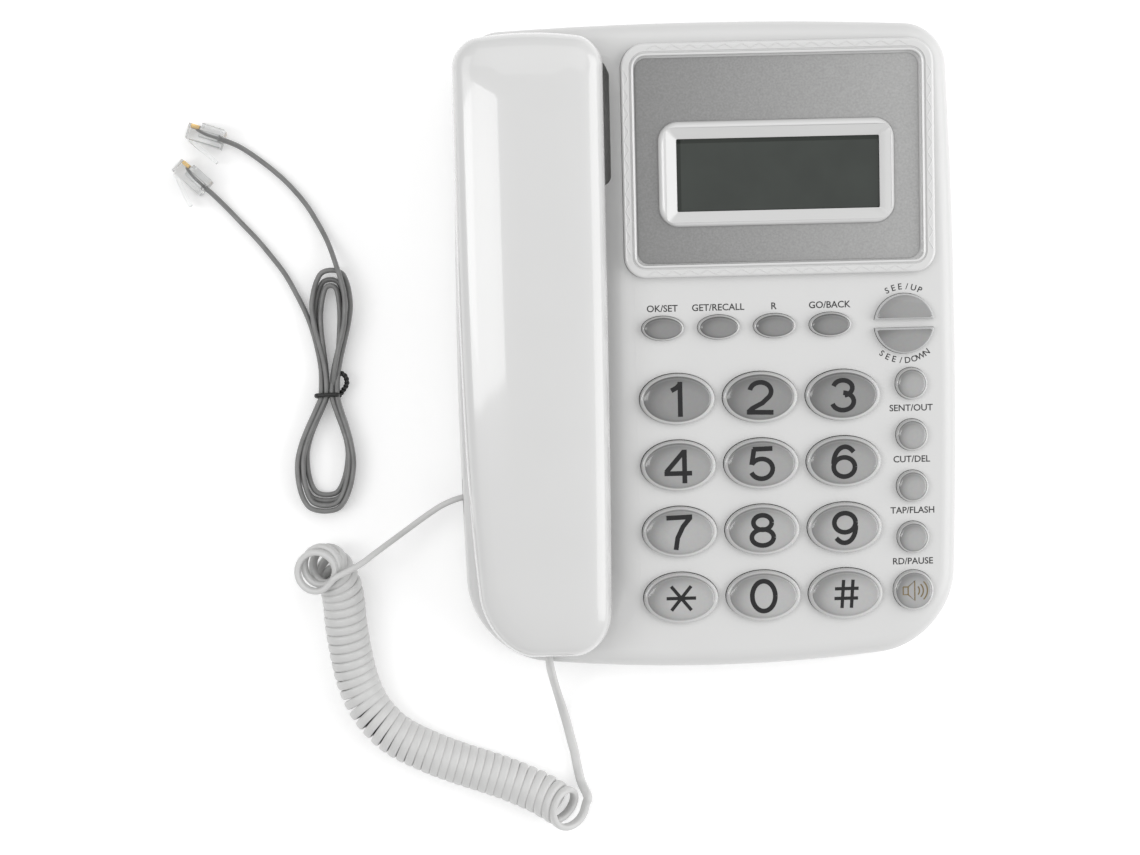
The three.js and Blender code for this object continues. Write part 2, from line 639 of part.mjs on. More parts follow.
function hankHalfWidth(s) {
  const reach = s > 0 ? HANK.top : -HANK.bottom;
  const belly = s > 0 ? 5.2 : 6.6;
  const t = Math.abs(s) / reach;
  const swell = belly * Math.sin(Math.PI * Math.min(1, t ** 1.25));
  return HANK.neck * Math.sqrt(Math.max(0, 1 - t ** 6)) + swell;
}

function hank() {
  const stations = [];
  const count = 22;
  for (let i = 0; i <= count; i += 1) {
    const t = -Math.cos((i / count) * Math.PI);
    stations.push(t < 0 ? -t * HANK.bottom : t * HANK.top);
  }
  const right = stations.slice(1, -1).map((s) => new THREE.Vector2(hankHalfWidth(s), s));
  const left = stations.slice(1, -1).reverse().map((s) => new THREE.Vector2(-hankHalfWidth(s), s));
  const ends = [new THREE.Vector2(0, HANK.bottom), new THREE.Vector2(0, HANK.top)];
  const outline = [ends[0], ...right, ends[1], ...left];
  return prism(outline, HANK.bottomZ, HANK.topZ);
}

function hankTie() {
  const half = HANK.neck + 0.5;
  const low = HANK.bottomZ - 0.4;
  const high = HANK.topZ + 0.4;
  const t = TIE.wall;
  const outside = block(-half - t, half + t, -TIE.width / 2, TIE.width / 2, low - t, high + t);
  return cut(outside, block(-half, half, -TIE.width, TIE.width, low, high));
}

function placeOnHank(mesh) {
  mesh.position.set(HANK.x, HANK.y, 0);
  mesh.rotation.z = -HANK.turn;
  return mesh;
}

// A modular plug: a stepped body with a springy latch, made lying on its side. The cord enters at +X.
function linePlug() {
  const { length, height, width } = LINE_PLUG;
  const body = block(-length / 2, length / 2, -height / 2, height / 2, 0, width);
  const nose = block(-length, -length / 2 + 3.4, height / 2 - 1.6, height, -1, width + 1);
  const latch = new THREE.Shape([
    new THREE.Vector2(-length / 2 + 1, -height / 2 + 0.4),
    new THREE.Vector2(-length / 2 + 2.2, -height / 2 - 0.6),
    new THREE.Vector2(length / 2 + 1.5, -height / 2 - 4),
    new THREE.Vector2(length / 2 + 1.5, -height / 2 - 2.8),
    new THREE.Vector2(-length / 2 + 3.4, -height / 2 + 0.4),
  ]);
  const arm = new THREE.ExtrudeGeometry(latch, { depth: 3.4, bevelEnabled: false });
  return cut(body, nose).add(solidOf(arm.translate(0, 0, width / 2 - 1.7)));
}

function linePlugMesh(name, x, y, turn) {
  const mesh = meshOf(name, linePlug(), clearPlug);
  mesh.position.set(x, y, 0);
  mesh.rotation.z = turn;
  return mesh;
}

function smallPlug(x0, x1) {
  const half = PLUG_SMALL.width / 2;
  const rise = PLUG_SMALL.height / 2;
  return block(x0, x1, -half, half, -rise, rise);
}

// ---------------------------------------------------------------- assembly

const deck = new THREE.Group();
deck.position.z = DECK_Z;
deck.rotation.x = DECK_TILT;
deck.add(meshOf('display_frame', displayFrame(), white));
deck.add(meshOf('display_panel', displayPanel(), silver));
deck.add(meshOf('lcd_window', lcdWindow(), glassDark));
deck.add(meshOf('lcd_module', lcdModule(), lcdGreen));
deck.add(meshOf('key_membrane', keyMembrane(), greyRubber));
deck.add(meshOf('main_board', mainBoard(), boardGreen));
deck.add(meshOf('hook_plunger', plungerShape(0, PLUNGER.top), white));
deck.add(meshOf('handset_back_cover', handsetBackCover(), white));
deck.add(meshOf('handset_front_cover', handsetFrontCover(), shadowWhite));
deck.add(meshOf('earpiece_capsule', earpieceCapsule(), blackPlastic));
deck.add(meshOf('handset_microphone', handsetMicrophone(), steel));
deck.add(meshOf('handset_weight', handsetWeight(), steel));
deck.add(meshOf('handset_cord_jack', handsetCordJack(), blackPlastic));
for (const key of keyList()) deck.add(keyMesh(key));

const handsetPlug = meshOf('cord_plug_handset', smallPlug(0, PLUG_SMALL.length), clearPlug);
handsetPlug.position.set(END_JACK.u, END_JACK.outer - GAP, END_JACK.w);
handsetPlug.rotation.z = Math.PI / 2;
deck.add(handsetPlug);

const basePlug = meshOf('cord_plug_base', smallPlug(0, PLUG_SMALL.length), clearPlug);
basePlug.position.set(SIDE_JACK.outer - GAP, SIDE_JACK.y, SIDE_JACK.z);

const phone = new THREE.Group();
phone.add(deck);
phone.add(meshOf('base_top_cover', baseTopCover(), white));
phone.add(meshOf('base_bottom_cover', baseBottomCover(), shadowWhite));
phone.add(meshOf('hook_switch', hookSwitch(), blackPlastic));
phone.add(meshOf('loudspeaker', loudspeaker(), blackPlastic));
phone.add(meshOf('base_microphone', baseMicrophone(), steel));
phone.add(meshOf('handset_jack', handsetJack(), blackPlastic));
phone.add(meshOf('line_jack', lineJack(), blackPlastic));
phone.add(basePlug);
FEET.forEach(([x, y], i) => {
  const foot = meshOf(`rubber_foot_${i + 1}`, upright(FOOT.radius, FOOT.radius - 0.5, 0, FOOT.z), greyRubber);
  foot.position.set(x, y, 0);
  phone.add(foot);
});
SCREWS.forEach(([x, y], i) => {
  const head = upright(SCREW.head, SCREW.head, SKIRT_Z - 0.8, SKIRT_Z + 0.7, 14);
  const shank = upright(SCREW.shank, SCREW.shank, SKIRT_Z + 0.5, SKIRT_Z + SCREW.length, 12);
  const screw = meshOf(`base_screw_${i + 1}`, solidOf(head).add(solidOf(shank)), steel);
  screw.position.set(x, y, 0);
  phone.add(screw);
});

phone.add(meshOf('cord_coil', tubeAlong(COIL_ROUTE, CURLY.coil, 12, 34), curlyGrey));
phone.add(meshOf('cord_lead_base', tubeAlong(BASE_LEAD_ROUTE, CURLY.cord, 8, 12), curlyGrey));
phone.add(meshOf('cord_lead_handset', tubeAlong(HANDSET_LEAD_ROUTE, CURLY.cord, 8, 14), curlyGrey));
phone.add(meshOf('line_cord_lead_1', tubeAlong(LINE_LEAD_1_ROUTE, LINE_CORD.diameter, 8, 12), flatGrey));
phone.add(meshOf('line_cord_lead_2', tubeAlong(LINE_LEAD_2_ROUTE, LINE_CORD.diameter, 8, 10), flatGrey));
phone.add(placeOnHank(meshOf('line_cord_hank', hank(), flatGrey)));
phone.add(placeOnHank(meshOf('line_cord_tie', hankTie(), blackPlastic)));
phone.add(linePlugMesh('line_plug_1', -166.9, 77.2, -0.32));
phone.add(linePlugMesh('line_plug_2', -171.8, 63.2, -0.76));

export default phone;
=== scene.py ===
# %% [markdown]
# # A corded desk telephone
# This lesson builds the looks of a white desk telephone around a finished mechanical frame: a wedge
# base with a keypad and a display, a handset in its cradle, a curly cord, and a flat line cord that
# lies folded beside it. Every piece is placed from the frame, in metres, and rides on its body.

# %% Load the frame
import json
import math
import bmesh
import bpy
import numpy as np
from mathutils import Matrix, Vector

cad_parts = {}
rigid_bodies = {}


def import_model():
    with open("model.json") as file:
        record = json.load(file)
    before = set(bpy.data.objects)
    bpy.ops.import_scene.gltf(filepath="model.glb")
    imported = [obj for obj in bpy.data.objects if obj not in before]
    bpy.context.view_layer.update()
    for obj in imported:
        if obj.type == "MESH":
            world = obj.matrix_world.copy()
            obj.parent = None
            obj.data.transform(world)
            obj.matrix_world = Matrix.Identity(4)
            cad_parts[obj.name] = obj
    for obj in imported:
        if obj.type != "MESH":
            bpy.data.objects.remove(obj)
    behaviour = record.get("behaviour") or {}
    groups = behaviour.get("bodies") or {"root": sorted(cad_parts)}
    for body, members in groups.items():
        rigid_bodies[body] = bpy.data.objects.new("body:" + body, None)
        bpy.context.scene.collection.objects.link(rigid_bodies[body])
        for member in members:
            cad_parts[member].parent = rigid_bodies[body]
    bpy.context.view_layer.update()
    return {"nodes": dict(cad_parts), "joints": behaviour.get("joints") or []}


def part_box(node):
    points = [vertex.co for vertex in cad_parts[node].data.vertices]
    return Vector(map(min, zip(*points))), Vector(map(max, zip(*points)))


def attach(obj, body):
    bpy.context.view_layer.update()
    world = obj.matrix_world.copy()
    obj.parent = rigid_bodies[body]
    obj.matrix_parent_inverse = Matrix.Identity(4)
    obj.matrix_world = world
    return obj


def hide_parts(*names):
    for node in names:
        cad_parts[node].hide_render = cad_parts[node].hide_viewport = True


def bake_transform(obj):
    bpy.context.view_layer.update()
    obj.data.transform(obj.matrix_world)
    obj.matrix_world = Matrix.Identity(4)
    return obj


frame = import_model()
MM = 0.001

# %% [markdown]
# ## The deck's own axes
# The keypad, the display and the handset all sit on a deck that slopes 6 degrees. It is easier to
# model them flat, with u to the right, v towards the rear and w out of the deck, and to tilt each
# finished mesh once. The handset lifts straight out of the deck, so its joint gives the slope.

# %% Find the deck plane
lift = next(j for j in frame["joints"] if j["name"] == "handset_lift")
deck_normal = Vector(lift["axis"]).normalized()
DECK_TILT = math.atan2(-deck_normal.y, deck_normal.z)
DECK_Z = 35 * MM
DECK = Matrix.Translation((0, 0, DECK_Z)) @ Matrix.Rotation(DECK_TILT, 4, "X")
print("deck slope", round(math.degrees(DECK_TILT), 2), "degrees")


def node_centre(node):
    low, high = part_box(node)
    return (low + high) / 2


def node_on_deck(node):
    return DECK.inverted() @ node_centre(node)


# %% [markdown]
# ## Camera
# The camera looks almost straight down from about 85 cm with a long lens, rolled by a degree and a
# half, so that the keys stay nearly free of perspective.

# %% Place the camera
CAMERA_AT = Vector((-0.0656, -0.0408, 0.882))
CAMERA_AIM = Vector((-0.0463, -0.026, 0.0323))
CAMERA_ROLL = math.radians(1.5)
CAMERA_LENS = 81.3


def add_camera():
    forward = (CAMERA_AIM - CAMERA_AT).normalized()
    hint = Vector((math.sin(CAMERA_ROLL), math.cos(CAMERA_ROLL), 0))
    right = forward.cross(hint).normalized()
    up = right.cross(forward)
    data = bpy.data.cameras.new("camera")
    data.lens = CAMERA_LENS
    data.sensor_width = 36
    data.clip_start = 0.01
    camera = bpy.data.objects.new("camera", data)
    bpy.context.scene.collection.objects.link(camera)
    turn = Matrix((right, up, -forward)).transposed().to_4x4()
    camera.matrix_world = Matrix.Translation(CAMERA_AT) @ turn
    bpy.context.scene.camera = camera


add_camera()
print("camera distance", round((CAMERA_AIM - CAMERA_AT).length, 3), "m")

# %% [markdown]
# ## Finishes
# Each finish is a small node tree on Object coordinates: a Principled shader, a slow change of colour
# that a moulded or printed surface has, and a fine bump at the real scale of its grain.

# %% Material helper


def finish(name, color, roughness, metallic=0.0, vary=0.03, vary_scale=40, grain=0.0, grain_scale=2500,
           **sockets):
    material = bpy.data.materials.new(name)
    material.use_nodes = True
    nodes, links = material.node_tree.nodes, material.node_tree.links
    shader = nodes["Principled BSDF"]
    shader.inputs["Roughness"].default_value = roughness
    shader.inputs["Metallic"].default_value = metallic
    for socket, value in sockets.items():
        shader.inputs[socket.replace("_", " ")].default_value = value
    place = nodes.new("ShaderNodeTexCoord")
    cloud = nodes.new("ShaderNodeTexNoise")
    cloud.inputs["Scale"].default_value = vary_scale
    cloud.inputs["Detail"].default_value = 3
    ramp = nodes.new("ShaderNodeValToRGB")
    dark = [c * (1 - vary) for c in color]
    light = [min(1, c * (1 + vary)) for c in color]
    ramp.color_ramp.elements[0].position = 0.3
    ramp.color_ramp.elements[0].color = (*dark, 1)
    ramp.color_ramp.elements[1].position = 0.7
    ramp.color_ramp.elements[1].color = (*light, 1)
    links.new(place.outputs["Object"], cloud.inputs["Vector"])
    links.new(cloud.outputs["Fac"], ramp.inputs["Fac"])
    links.new(ramp.outputs["Color"], shader.inputs["Base Color"])
    if grain:
        fine = nodes.new("ShaderNodeTexNoise")
        fine.inputs["Scale"].default_value = grain_scale
        bump = nodes.new("ShaderNodeBump")
        bump.inputs["Strength"].default_value = grain
        bump.inputs["Distance"].default_value = 0.05 * MM
        links.new(place.outputs["Object"], fine.inputs["Vector"])
        links.new(fine.outputs["Fac"], bump.inputs["Height"])
        links.new(bump.outputs["Normal"], shader.inputs["Normal"])
    return material


def shade_across(material, ends, tones):
    """Paints shade: multiplies the colour by a tone that changes along x, between two places in metres."""
    nodes, links = material.node_tree.nodes, material.node_tree.links
    ramp = next(node for node in nodes if node.type == "VALTORGB")
    place = nodes.new("ShaderNodeTexCoord")
    split = nodes.new("ShaderNodeSeparateXYZ")
    spread = nodes.new("ShaderNodeMapRange")
    tint = nodes.new("ShaderNodeVectorMath")
    tint.operation = "SCALE"
    for socket, value in zip(("From Min", "From Max", "To Min", "To Max"), (*ends, *tones)):
        spread.inputs[socket].default_value = value
    links.new(place.outputs["Object"], split.inputs["Vector"])
    links.new(split.outputs["X"], spread.inputs["Value"])
    links.new(ramp.outputs["Color"], tint.inputs[0])
    links.new(spread.outputs["Result"], tint.inputs["Scale"])
    links.new(tint.outputs["Vector"], nodes["Principled BSDF"].inputs["Base Color"])


# %% The telephone's finishes
SHELL_WHITE = (0.645, 0.645, 0.642)
SHELL_SURFACE = {"vary": 0.008, "grain": 0.06, "grain_scale": 600}
white_gloss = finish("white_gloss", SHELL_WHITE, 0.24, **SHELL_SURFACE, Coat_Weight=1.0, Coat_Roughness=0.05)
white_deck = finish("white_deck", SHELL_WHITE, 0.32, **SHELL_SURFACE, Coat_Weight=0.12)
white_inner = finish("white_satin", (0.72, 0.72, 0.715), 0.42, vary=0.02, grain=0.25, grain_scale=4000)
silver_film = finish("silver_film", (0.33, 0.33, 0.328), 0.42, 0.35, vary=0.1, vary_scale=1500, grain=0.4)
# painted shade: the silver panel is darker towards its left and lighter towards its right, for the shade of
# the raised frame
shade_across(silver_film, (-0.023, 0.07), (0.7, 1.2))
key_clear = finish("key_clear", (0.52, 0.522, 0.525), 0.16, vary=0.02, vary_scale=200, Coat_Weight=0.6)
INK_SHEEN = {"Specular_IOR_Level": 0.25}
digit_ink = finish("digit_ink", (0.018, 0.018, 0.019), 0.6, vary=0.1, vary_scale=900, **INK_SHEEN)
label_ink = finish("label_ink", (0.045, 0.045, 0.046), 0.5, vary=0.15, vary_scale=1500, **INK_SHEEN)
gold_ink = finish("gold_ink", (0.2, 0.15, 0.07), 0.4, 0.3, vary=0.15, vary_scale=1500)
lcd_glass = finish("lcd_glass", (0.030, 0.036, 0.031), 0.09, vary=0.12, vary_scale=60, Coat_Weight=0.6)
# the LCD module's own dark colour, also used for the painted shadow strips on the glass
lcd_dark_and_shadow = finish("lcd_dark_and_shadow", (0.016, 0.02, 0.016), 0.3, vary=0.1)
curly_pvc = finish("curly_pvc", (0.60, 0.60, 0.595), 0.36, vary=0.02, vary_scale=120, grain=0.1,
                   grain_scale=1800)
line_pvc = finish("line_pvc", (0.2, 0.2, 0.198), 0.38, vary=0.12, vary_scale=220, grain=0.15,
                  grain_scale=1500)
clear_pc = finish("clear_polycarbonate", (0.96, 0.965, 0.965), 0.05, vary=0.01, Transmission_Weight=0.94,
                  IOR=1.38)
gold_plate = finish("gold_plate", (0.65, 0.45, 0.18), 0.25, 1.0, vary=0.06, vary_scale=900)
tie_pvc = finish("tie_pvc", (0.012, 0.012, 0.012), 0.4, vary=0.2, vary_scale=400, grain=0.2)
black_abs = finish("black_abs", (0.018, 0.018, 0.019), 0.4, vary=0.15, grain=0.2, grain_scale=4000)
grey_rubber = finish("grey_rubber", (0.2, 0.2, 0.196), 0.75, vary=0.08, grain=0.5, grain_scale=3000)
zinc = finish("zinc_steel", (0.5, 0.5, 0.5), 0.28, 1.0, vary=0.05, grain=0.1)
board_mask = finish("board_mask", (0.02, 0.11, 0.045), 0.35, vary=0.15, vary_scale=500)
print("materials", len(bpy.data.materials))

# %% [markdown]
# ## Tools of the trade
# A few helpers keep the later cells short: one takes an object alone in hand, one makes a slab with
# rounded corners from a cube, one insets its top face in steps, and one finishes a piece, which means
# tilting it onto the deck, baking its place into the mesh, smoothing it and handing it to its body.

# %% Selection helpers


def take(piece):
    bpy.ops.object.select_all(action="DESELECT")
    bpy.context.view_layer.objects.active = piece
    piece.select_set(True)


def open_edit(piece, mode="FACE"):
    take(piece)
    bpy.ops.object.mode_set(mode="EDIT")
    bpy.ops.mesh.select_mode(type=mode)
    bpy.ops.mesh.select_all(action="DESELECT")
    return bmesh.from_edit_mesh(piece.data)


def close_edit(piece):
    bmesh.update_edit_mesh(piece.data)
    bpy.ops.object.mode_set(mode="OBJECT")


def select_faces(piece, wanted):
    mesh = open_edit(piece)
    for face in mesh.faces:
        if wanted(face):
            face.select_set(True)
    bmesh.update_edit_mesh(piece.data)


def select_edges(piece, wanted):
    mesh = open_edit(piece, "EDGE")
    for edge in mesh.edges:
        edge.select_set(wanted(edge))
    bmesh.update_edit_mesh(piece.data)


def top_face(piece):
    mesh = open_edit(piece)
    upward = [f for f in mesh.faces if f.normal.z > 0.9]
    best = max(upward, key=lambda f: (f.calc_center_median().z, f.calc_area()))
    best.select_set(True)
    bmesh.update_edit_mesh(piece.data)


# %% Modelling helpers


def upright_at(edge, v):
    a, b = edge.verts
    upright = abs(a.co.x - b.co.x) + abs(a.co.y - b.co.y) < 1e-7
    return upright and abs(a.co.y - v) < 1e-6


def slab(name, u, v, w, front_radius=0.0, rear_radius=0.0, segments=12):
    """A box over the three ranges, in metres, whose upright edges are rounded."""
    size = (u[1] - u[0], v[1] - v[0], w[1] - w[0])
    centre = ((u[0] + u[1]) / 2, (v[0] + v[1]) / 2, (w[0] + w[1]) / 2)
    bpy.ops.object.select_all(action="DESELECT")
    bpy.ops.mesh.primitive_cube_add(size=1, location=centre, scale=size)
    piece = bpy.context.active_object
    piece.name = name
    bpy.ops.object.transform_apply(location=True, rotation=True, scale=True)
    for radius, at in ((front_radius, v[0]), (rear_radius, v[1])):
        if radius:
            select_edges(piece, lambda edge, row=at: upright_at(edge, row))
            bpy.ops.mesh.bevel(offset=radius, segments=segments, affect="EDGES", clamp_overlap=False)
            close_edit(piece)
    return piece


def round_slab(name, u, v, size, w, vertices=64):
    """An elliptical slab centred on u, v."""
    bpy.ops.object.select_all(action="DESELECT")
    middle = (u, v, (w[0] + w[1]) / 2)
    bpy.ops.mesh.primitive_cylinder_add(vertices=vertices, radius=0.5, depth=1, location=middle)
    piece = bpy.context.active_object
    piece.name = name
    piece.scale = (size[0], size[1], w[1] - w[0])
    bpy.ops.object.transform_apply(location=True, rotation=True, scale=True)
    return piece


def round_level(piece, w, radius, segments):
    """Rounds the edges that lie at the height w."""
    select_edges(piece, lambda edge: all(abs(vertex.co.z - w) < 1e-6 for vertex in edge.verts))
    bpy.ops.mesh.bevel(offset=radius, segments=segments, affect="EDGES", clamp_overlap=False)
    close_edit(piece)


def inset_steps(piece, steps):
    """Insets the top face again and again: each step is (inset, rise)."""
    top_face(piece)
    for inset, rise in steps:
        bpy.ops.mesh.inset(thickness=inset, depth=rise, use_boundary=True, use_even_offset=True)
    close_edit(piece)


def boolean(piece, cutter, operation="DIFFERENCE", keep=False):
    take(piece)
    bpy.ops.object.modifier_add(type="BOOLEAN")
    modifier = piece.modifiers[-1]
    modifier.object = cutter
    modifier.operation = operation
    modifier.solver = "EXACT"
    bpy.ops.object.modifier_apply(modifier=modifier.name)
    if not keep:
        bpy.data.objects.remove(cutter)


def join(name, parts):
    bpy.ops.object.select_all(action="DESELECT")
    for part in parts:
        part.select_set(True)
    bpy.context.view_layer.objects.active = parts[0]
    bpy.ops.object.join()
    parts[0].name = name
    return parts[0]


def set_finish(piece, material):
    piece.data.materials.clear()
    piece.data.materials.append(material)


def finish_piece(piece, material, body, replaces=(), on_deck=True, angle=32, weighted=False):
    take(piece)
    if on_deck:
        piece.matrix_world = DECK @ piece.matrix_world
    bpy.ops.object.transform_apply(location=True, rotation=True, scale=True)
    bpy.ops.object.mode_set(mode="EDIT")
    bpy.ops.mesh.select_all(action="SELECT")
    bpy.ops.mesh.remove_doubles(threshold=1e-6)
    bpy.ops.mesh.normals_make_consistent(inside=False)
    bpy.ops.object.mode_set(mode="OBJECT")
    bpy.ops.object.shade_smooth_by_angle(angle=math.radians(angle))
    if weighted:
        bpy.ops.object.modifier_add(type="WEIGHTED_NORMAL")
        piece.modifiers[-1].keep_sharp = True
        bpy.ops.object.modifier_apply(modifier=piece.modifiers[-1].name)
    if material:
        set_finish(piece, material)
    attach(piece, body)
    if replaces:
        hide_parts(*replaces)
    return piece


# %% Ring and tube helpers


def skin(name, verts, count):
    """A closed skin over rings of count points each, with a face over each end."""
    last = len(verts) - count
    faces = []
    for low in range(0, last, count):
        for i in range(count):
            j = (i + 1) % count
            faces.append((low + i, low + j, low + count + j, low + count + i))
    faces.append(tuple(reversed(range(count))))
    faces.append(tuple(last + i for i in range(count)))
    mesh = bpy.data.meshes.new(name)
    mesh.from_pydata(verts, [], faces)
    piece = bpy.data.objects.new(name, mesh)
    bpy.context.scene.collection.objects.link(piece)
    return piece


def loft(name, rings):
    """A closed skin through rings of equal point counts, counter-clockwise from above, lowest first."""
    return skin(name, [tuple(p) for ring in rings for p in ring], len(rings[0]))


def run_along(line):
    """The length of a line up to each of its points."""
    return np.concatenate([[0], np.cumsum(np.linalg.norm(np.diff(line, axis=0), axis=1))])


def spline(points, step):
    """Points every step along a smooth curve through the given ones."""
    p = np.array(points, float)
    p = np.vstack([2 * p[0] - p[1], p, 2 * p[-1] - p[-2]])
    fine = []
    for k in range(1, len(p) - 2):
        a, b, c, d = p[k - 1:k + 3]
        for t in np.linspace(0, 1, 24, endpoint=False):
            fine.append(0.5 * (2 * b + (c - a) * t + (2 * a - 5 * b + 4 * c - d) * t * t
                               + (3 * b - a - 3 * c + d) * t ** 3))
    fine.append(p[-2])
    return resample(np.array(fine), step)


def resample(line, step):
    run = run_along(line[:, :3])
    count = max(4, int(round(run[-1] / step)) + 1)
    at = np.linspace(0, run[-1], count)
    return np.stack([np.interp(at, run, line[:, k]) for k in range(line.shape[1])], 1)


def unit(v):
    return v / np.maximum(np.linalg.norm(v, axis=-1, keepdims=True), 1e-12)


def run_length(line):
    return float(np.linalg.norm(np.diff(line, axis=0), axis=1).sum())


def ribbon_section(width, thickness, power=3.2, count=14):
    """A flat cord's rounded section: a superellipse, as (across the width, across the thickness)."""
    a = np.arange(count) / count * 2 * math.pi
    c, s = np.cos(a), np.sin(a)
    x = np.sign(c) * np.abs(c) ** (2 / power) * width / 2
    y = np.sign(s) * np.abs(s) ** (2 / power) * thickness / 2
    return np.stack([x, y], 1)


def tube(name, line, wide, section):
    """A closed tube of a flat section along a line. wide is the direction of its width at each point."""
    tangent = unit(np.gradient(line, axis=0))
    side = unit(wide - (wide * tangent).sum(1, keepdims=True) * tangent)
    flat = np.cross(tangent, side)
    count = len(section)
    ring = line[:, None] + section[None, :, :1] * side[:, None] + section[None, :, 1:] * flat[:, None]
    piece = skin(name, ring.reshape(-1, 3).tolist(), count)
    mesh = piece.data
    uv = mesh.uv_layers.new(name="along")
    run = run_along(line)
    for face in mesh.polygons:
        for loop in face.loop_indices:
            vertex = mesh.loops[loop].vertex_index
            k, i = divmod(vertex, count)
            if i == 0 and count - 1 in [mesh.loops[m].vertex_index % count for m in face.loop_indices]:
                i = count
            uv.data[loop].uv = (run[k], i / count)
    take(piece)
    bpy.ops.object.mode_set(mode="EDIT")
    bpy.ops.mesh.select_all(action="SELECT")
    bpy.ops.mesh.normals_make_consistent(inside=False)
    bpy.ops.object.mode_set(mode="OBJECT")
    bpy.ops.object.shade_smooth_by_angle(angle=math.radians(50))
    return piece


# %% [markdown]
# ## The curly cord
# A handset cord is a flat PVC cord wound on a rod and baked, so it keeps a tight right-handed coil.
# It could be a curve with a Screw modifier, but this coil bends, opens at one end and turns its first
# rings to face up. So its turns are worked out by a loop: a centre line, the way each ring faces, and
# an angle that grows with the pitch. The two straight leads join the coil along its own direction.

# %% Curly cord: the route
COIL_RADIUS = 6.2
CORD_WIDTH = 3.1
CORD_THICKNESS = 2.1
# the coil's centre, then the way its rings face, then its pitch, in millimetres
COIL_STATIONS = [
    (-133.3, -72.7, 16.4, 0.15, 0.20, -0.97, 3.4),
    (-130.9, -69.9, 13.6, 0.38, 0.22, -0.90, 3.3),
    (-129.0, -69.6, 11.2, 0.60, -0.05, -0.80, 3.1),
    (-127.4, -71.1, 9.5, 0.60, -0.45, -0.66, 3.05),
    (-125.8, -74.4, 8.2, 0.45, -0.72, -0.53, 3.05),
    (-124.7, -77.8, 7.6, 0.28, -0.86, -0.43, 3.05),
    (-123.9, -82.2, 7.4, 0.15, -0.92, -0.36, 3.05),
    (-123.3, -90.3, 7.35, 0.10, -0.95, -0.32, 3.05),
    (-122.4, -96.7, 7.3, 0.14, -0.95, -0.30, 3.05),
    (-121.2, -103.6, 7.3, 0.20, -0.94, -0.25, 3.1),
    (-119.3, -110.9, 7.3, 0.34, -0.92, -0.15, 3.15),
    (-116.0, -118.4, 7.3, 0.58, -0.81, 0.0, 3.35),
    (-111.0, -124.8, 7.3, 0.74, -0.67, 0.0, 3.3),
    (-105.4, -129.4, 7.3, 0.84, -0.54, 0.0, 3.0),
    (-96.0, -134.2, 7.3, 0.92, -0.39, 0.0, 2.9),
    (-86.0, -138.3, 7.3, 0.94, -0.35, 0.0, 2.88),
    (-71.9, -143.3, 7.3, 0.93, -0.37, 0.03, 3.0),
    (-61.4, -147.9, 7.4, 0.88, -0.42, 0.2, 3.4),
    (-55.1, -151.5, 7.8, 0.80, -0.38, 0.45, 3.8),
    (-51.6, -153.7, 8.4, 0.68, -0.30, 0.66, 4.0),
    (-48.8, -155.6, 8.8, 0.62, -0.26, 0.74, 4.0),
]
FIRST_SPOKE = (0.78, -0.62, 0.0)
LAST_SPOKE = (0.97, 0.12, -0.6)
BASE_LEAD = [
    (-69.0, -48.1, 10.8), (-76.0, -48.1, 10.8), (-82.0, -48.2, 10.7), (-86.5, -49.4, 10.2),
    (-91.0, -51.5, 9.4), (-96.6, -55.1, 8.8), (-101.9, -58.8, 9.2), (-107.6, -62.8, 11.6),
    (-112.7, -66.4, 14.4), (-118.0, -70.1, 16.8),
]
HANDSET_LEAD = [
    (-45.0, -146.2, 1.9), (-46.2, -140.8, 1.8), (-46.9, -136.5, 1.8), (-48.1, -131.5, 1.8),
    (-49.3, -126.4, 2.2), (-50.7, -121.2, 3.6), (-52.4, -115.2, 8.0), (-54.0, -109.0, 17.0),
    (-54.9, -104.2, 25.0), (-55.2, -99.6, 27.8), (-55.2, -92.0, 28.9),
]


def perpendicular(spoke, axis):
    return unit(np.array(spoke) - (np.array(spoke) @ axis) * axis)


def coil_line():
    path = spline(COIL_STATIONS, 0.25)
    centre, facing, pitch = path[:, :3], unit(path[:, 3:6]), path[:, 6]
    step = np.linalg.norm(np.diff(centre, axis=0), axis=1)
    angle = np.concatenate([[0], np.cumsum(2 * math.pi * step / pitch[1:])])
    across = np.zeros_like(facing)
    across[0] = perpendicular(FIRST_SPOKE, facing[0])
    for k in range(1, len(facing)):
        across[k] = perpendicular(across[k - 1], facing[k])
    other = np.cross(facing, across)
    last = perpendicular(LAST_SPOKE, facing[-1])
    wanted = math.atan2(last @ other[-1], last @ across[-1])
    spare = (wanted - angle[-1]) % (2 * math.pi)
    angle *= 1 + spare / angle[-1]
    turns = angle[-1] / (2 * math.pi)
    dense = np.linspace(0, angle[-1], int(turns * 26))

    def pick(values):
        return np.stack([np.interp(dense, angle, values[:, k]) for k in range(3)], 1)

    centre, across, other, facing = pick(centre), unit(pick(across)), unit(pick(other)), unit(pick(facing))
    spread = np.cos(dense)[:, None] * across + np.sin(dense)[:, None] * other
    return centre + COIL_RADIUS * spread, facing, turns


coil, coil_facing, coil_turns = coil_line()
print("turns in the coil", round(coil_turns, 1))

# %% Curly cord: the mesh


def lead_in(points, join_point, join_direction):
    """A lead that meets the coil's first turn along the turn's own direction."""
    reach = [join_point - join_direction * d for d in (4.0, 2.0, 0.8)]
    return spline(np.array(list(points) + reach), 0.8)


def lead_out(points, join_point, join_direction):
    """A lead that leaves the coil's last turn along the turn's own direction."""
    reach = [join_point + join_direction * d for d in (0.8, 2.0, 4.0)]
    return spline(np.array(reach + list(points)), 0.8)


def turn_through(directions, count):
    """The way the cord's flat side faces, eased from one direction to the next."""
    at = np.linspace(0, len(directions) - 1, count)
    keys = np.arange(len(directions))
    return unit(np.stack([np.interp(at, keys, [d[k] for d in directions]) for k in range(3)], 1))


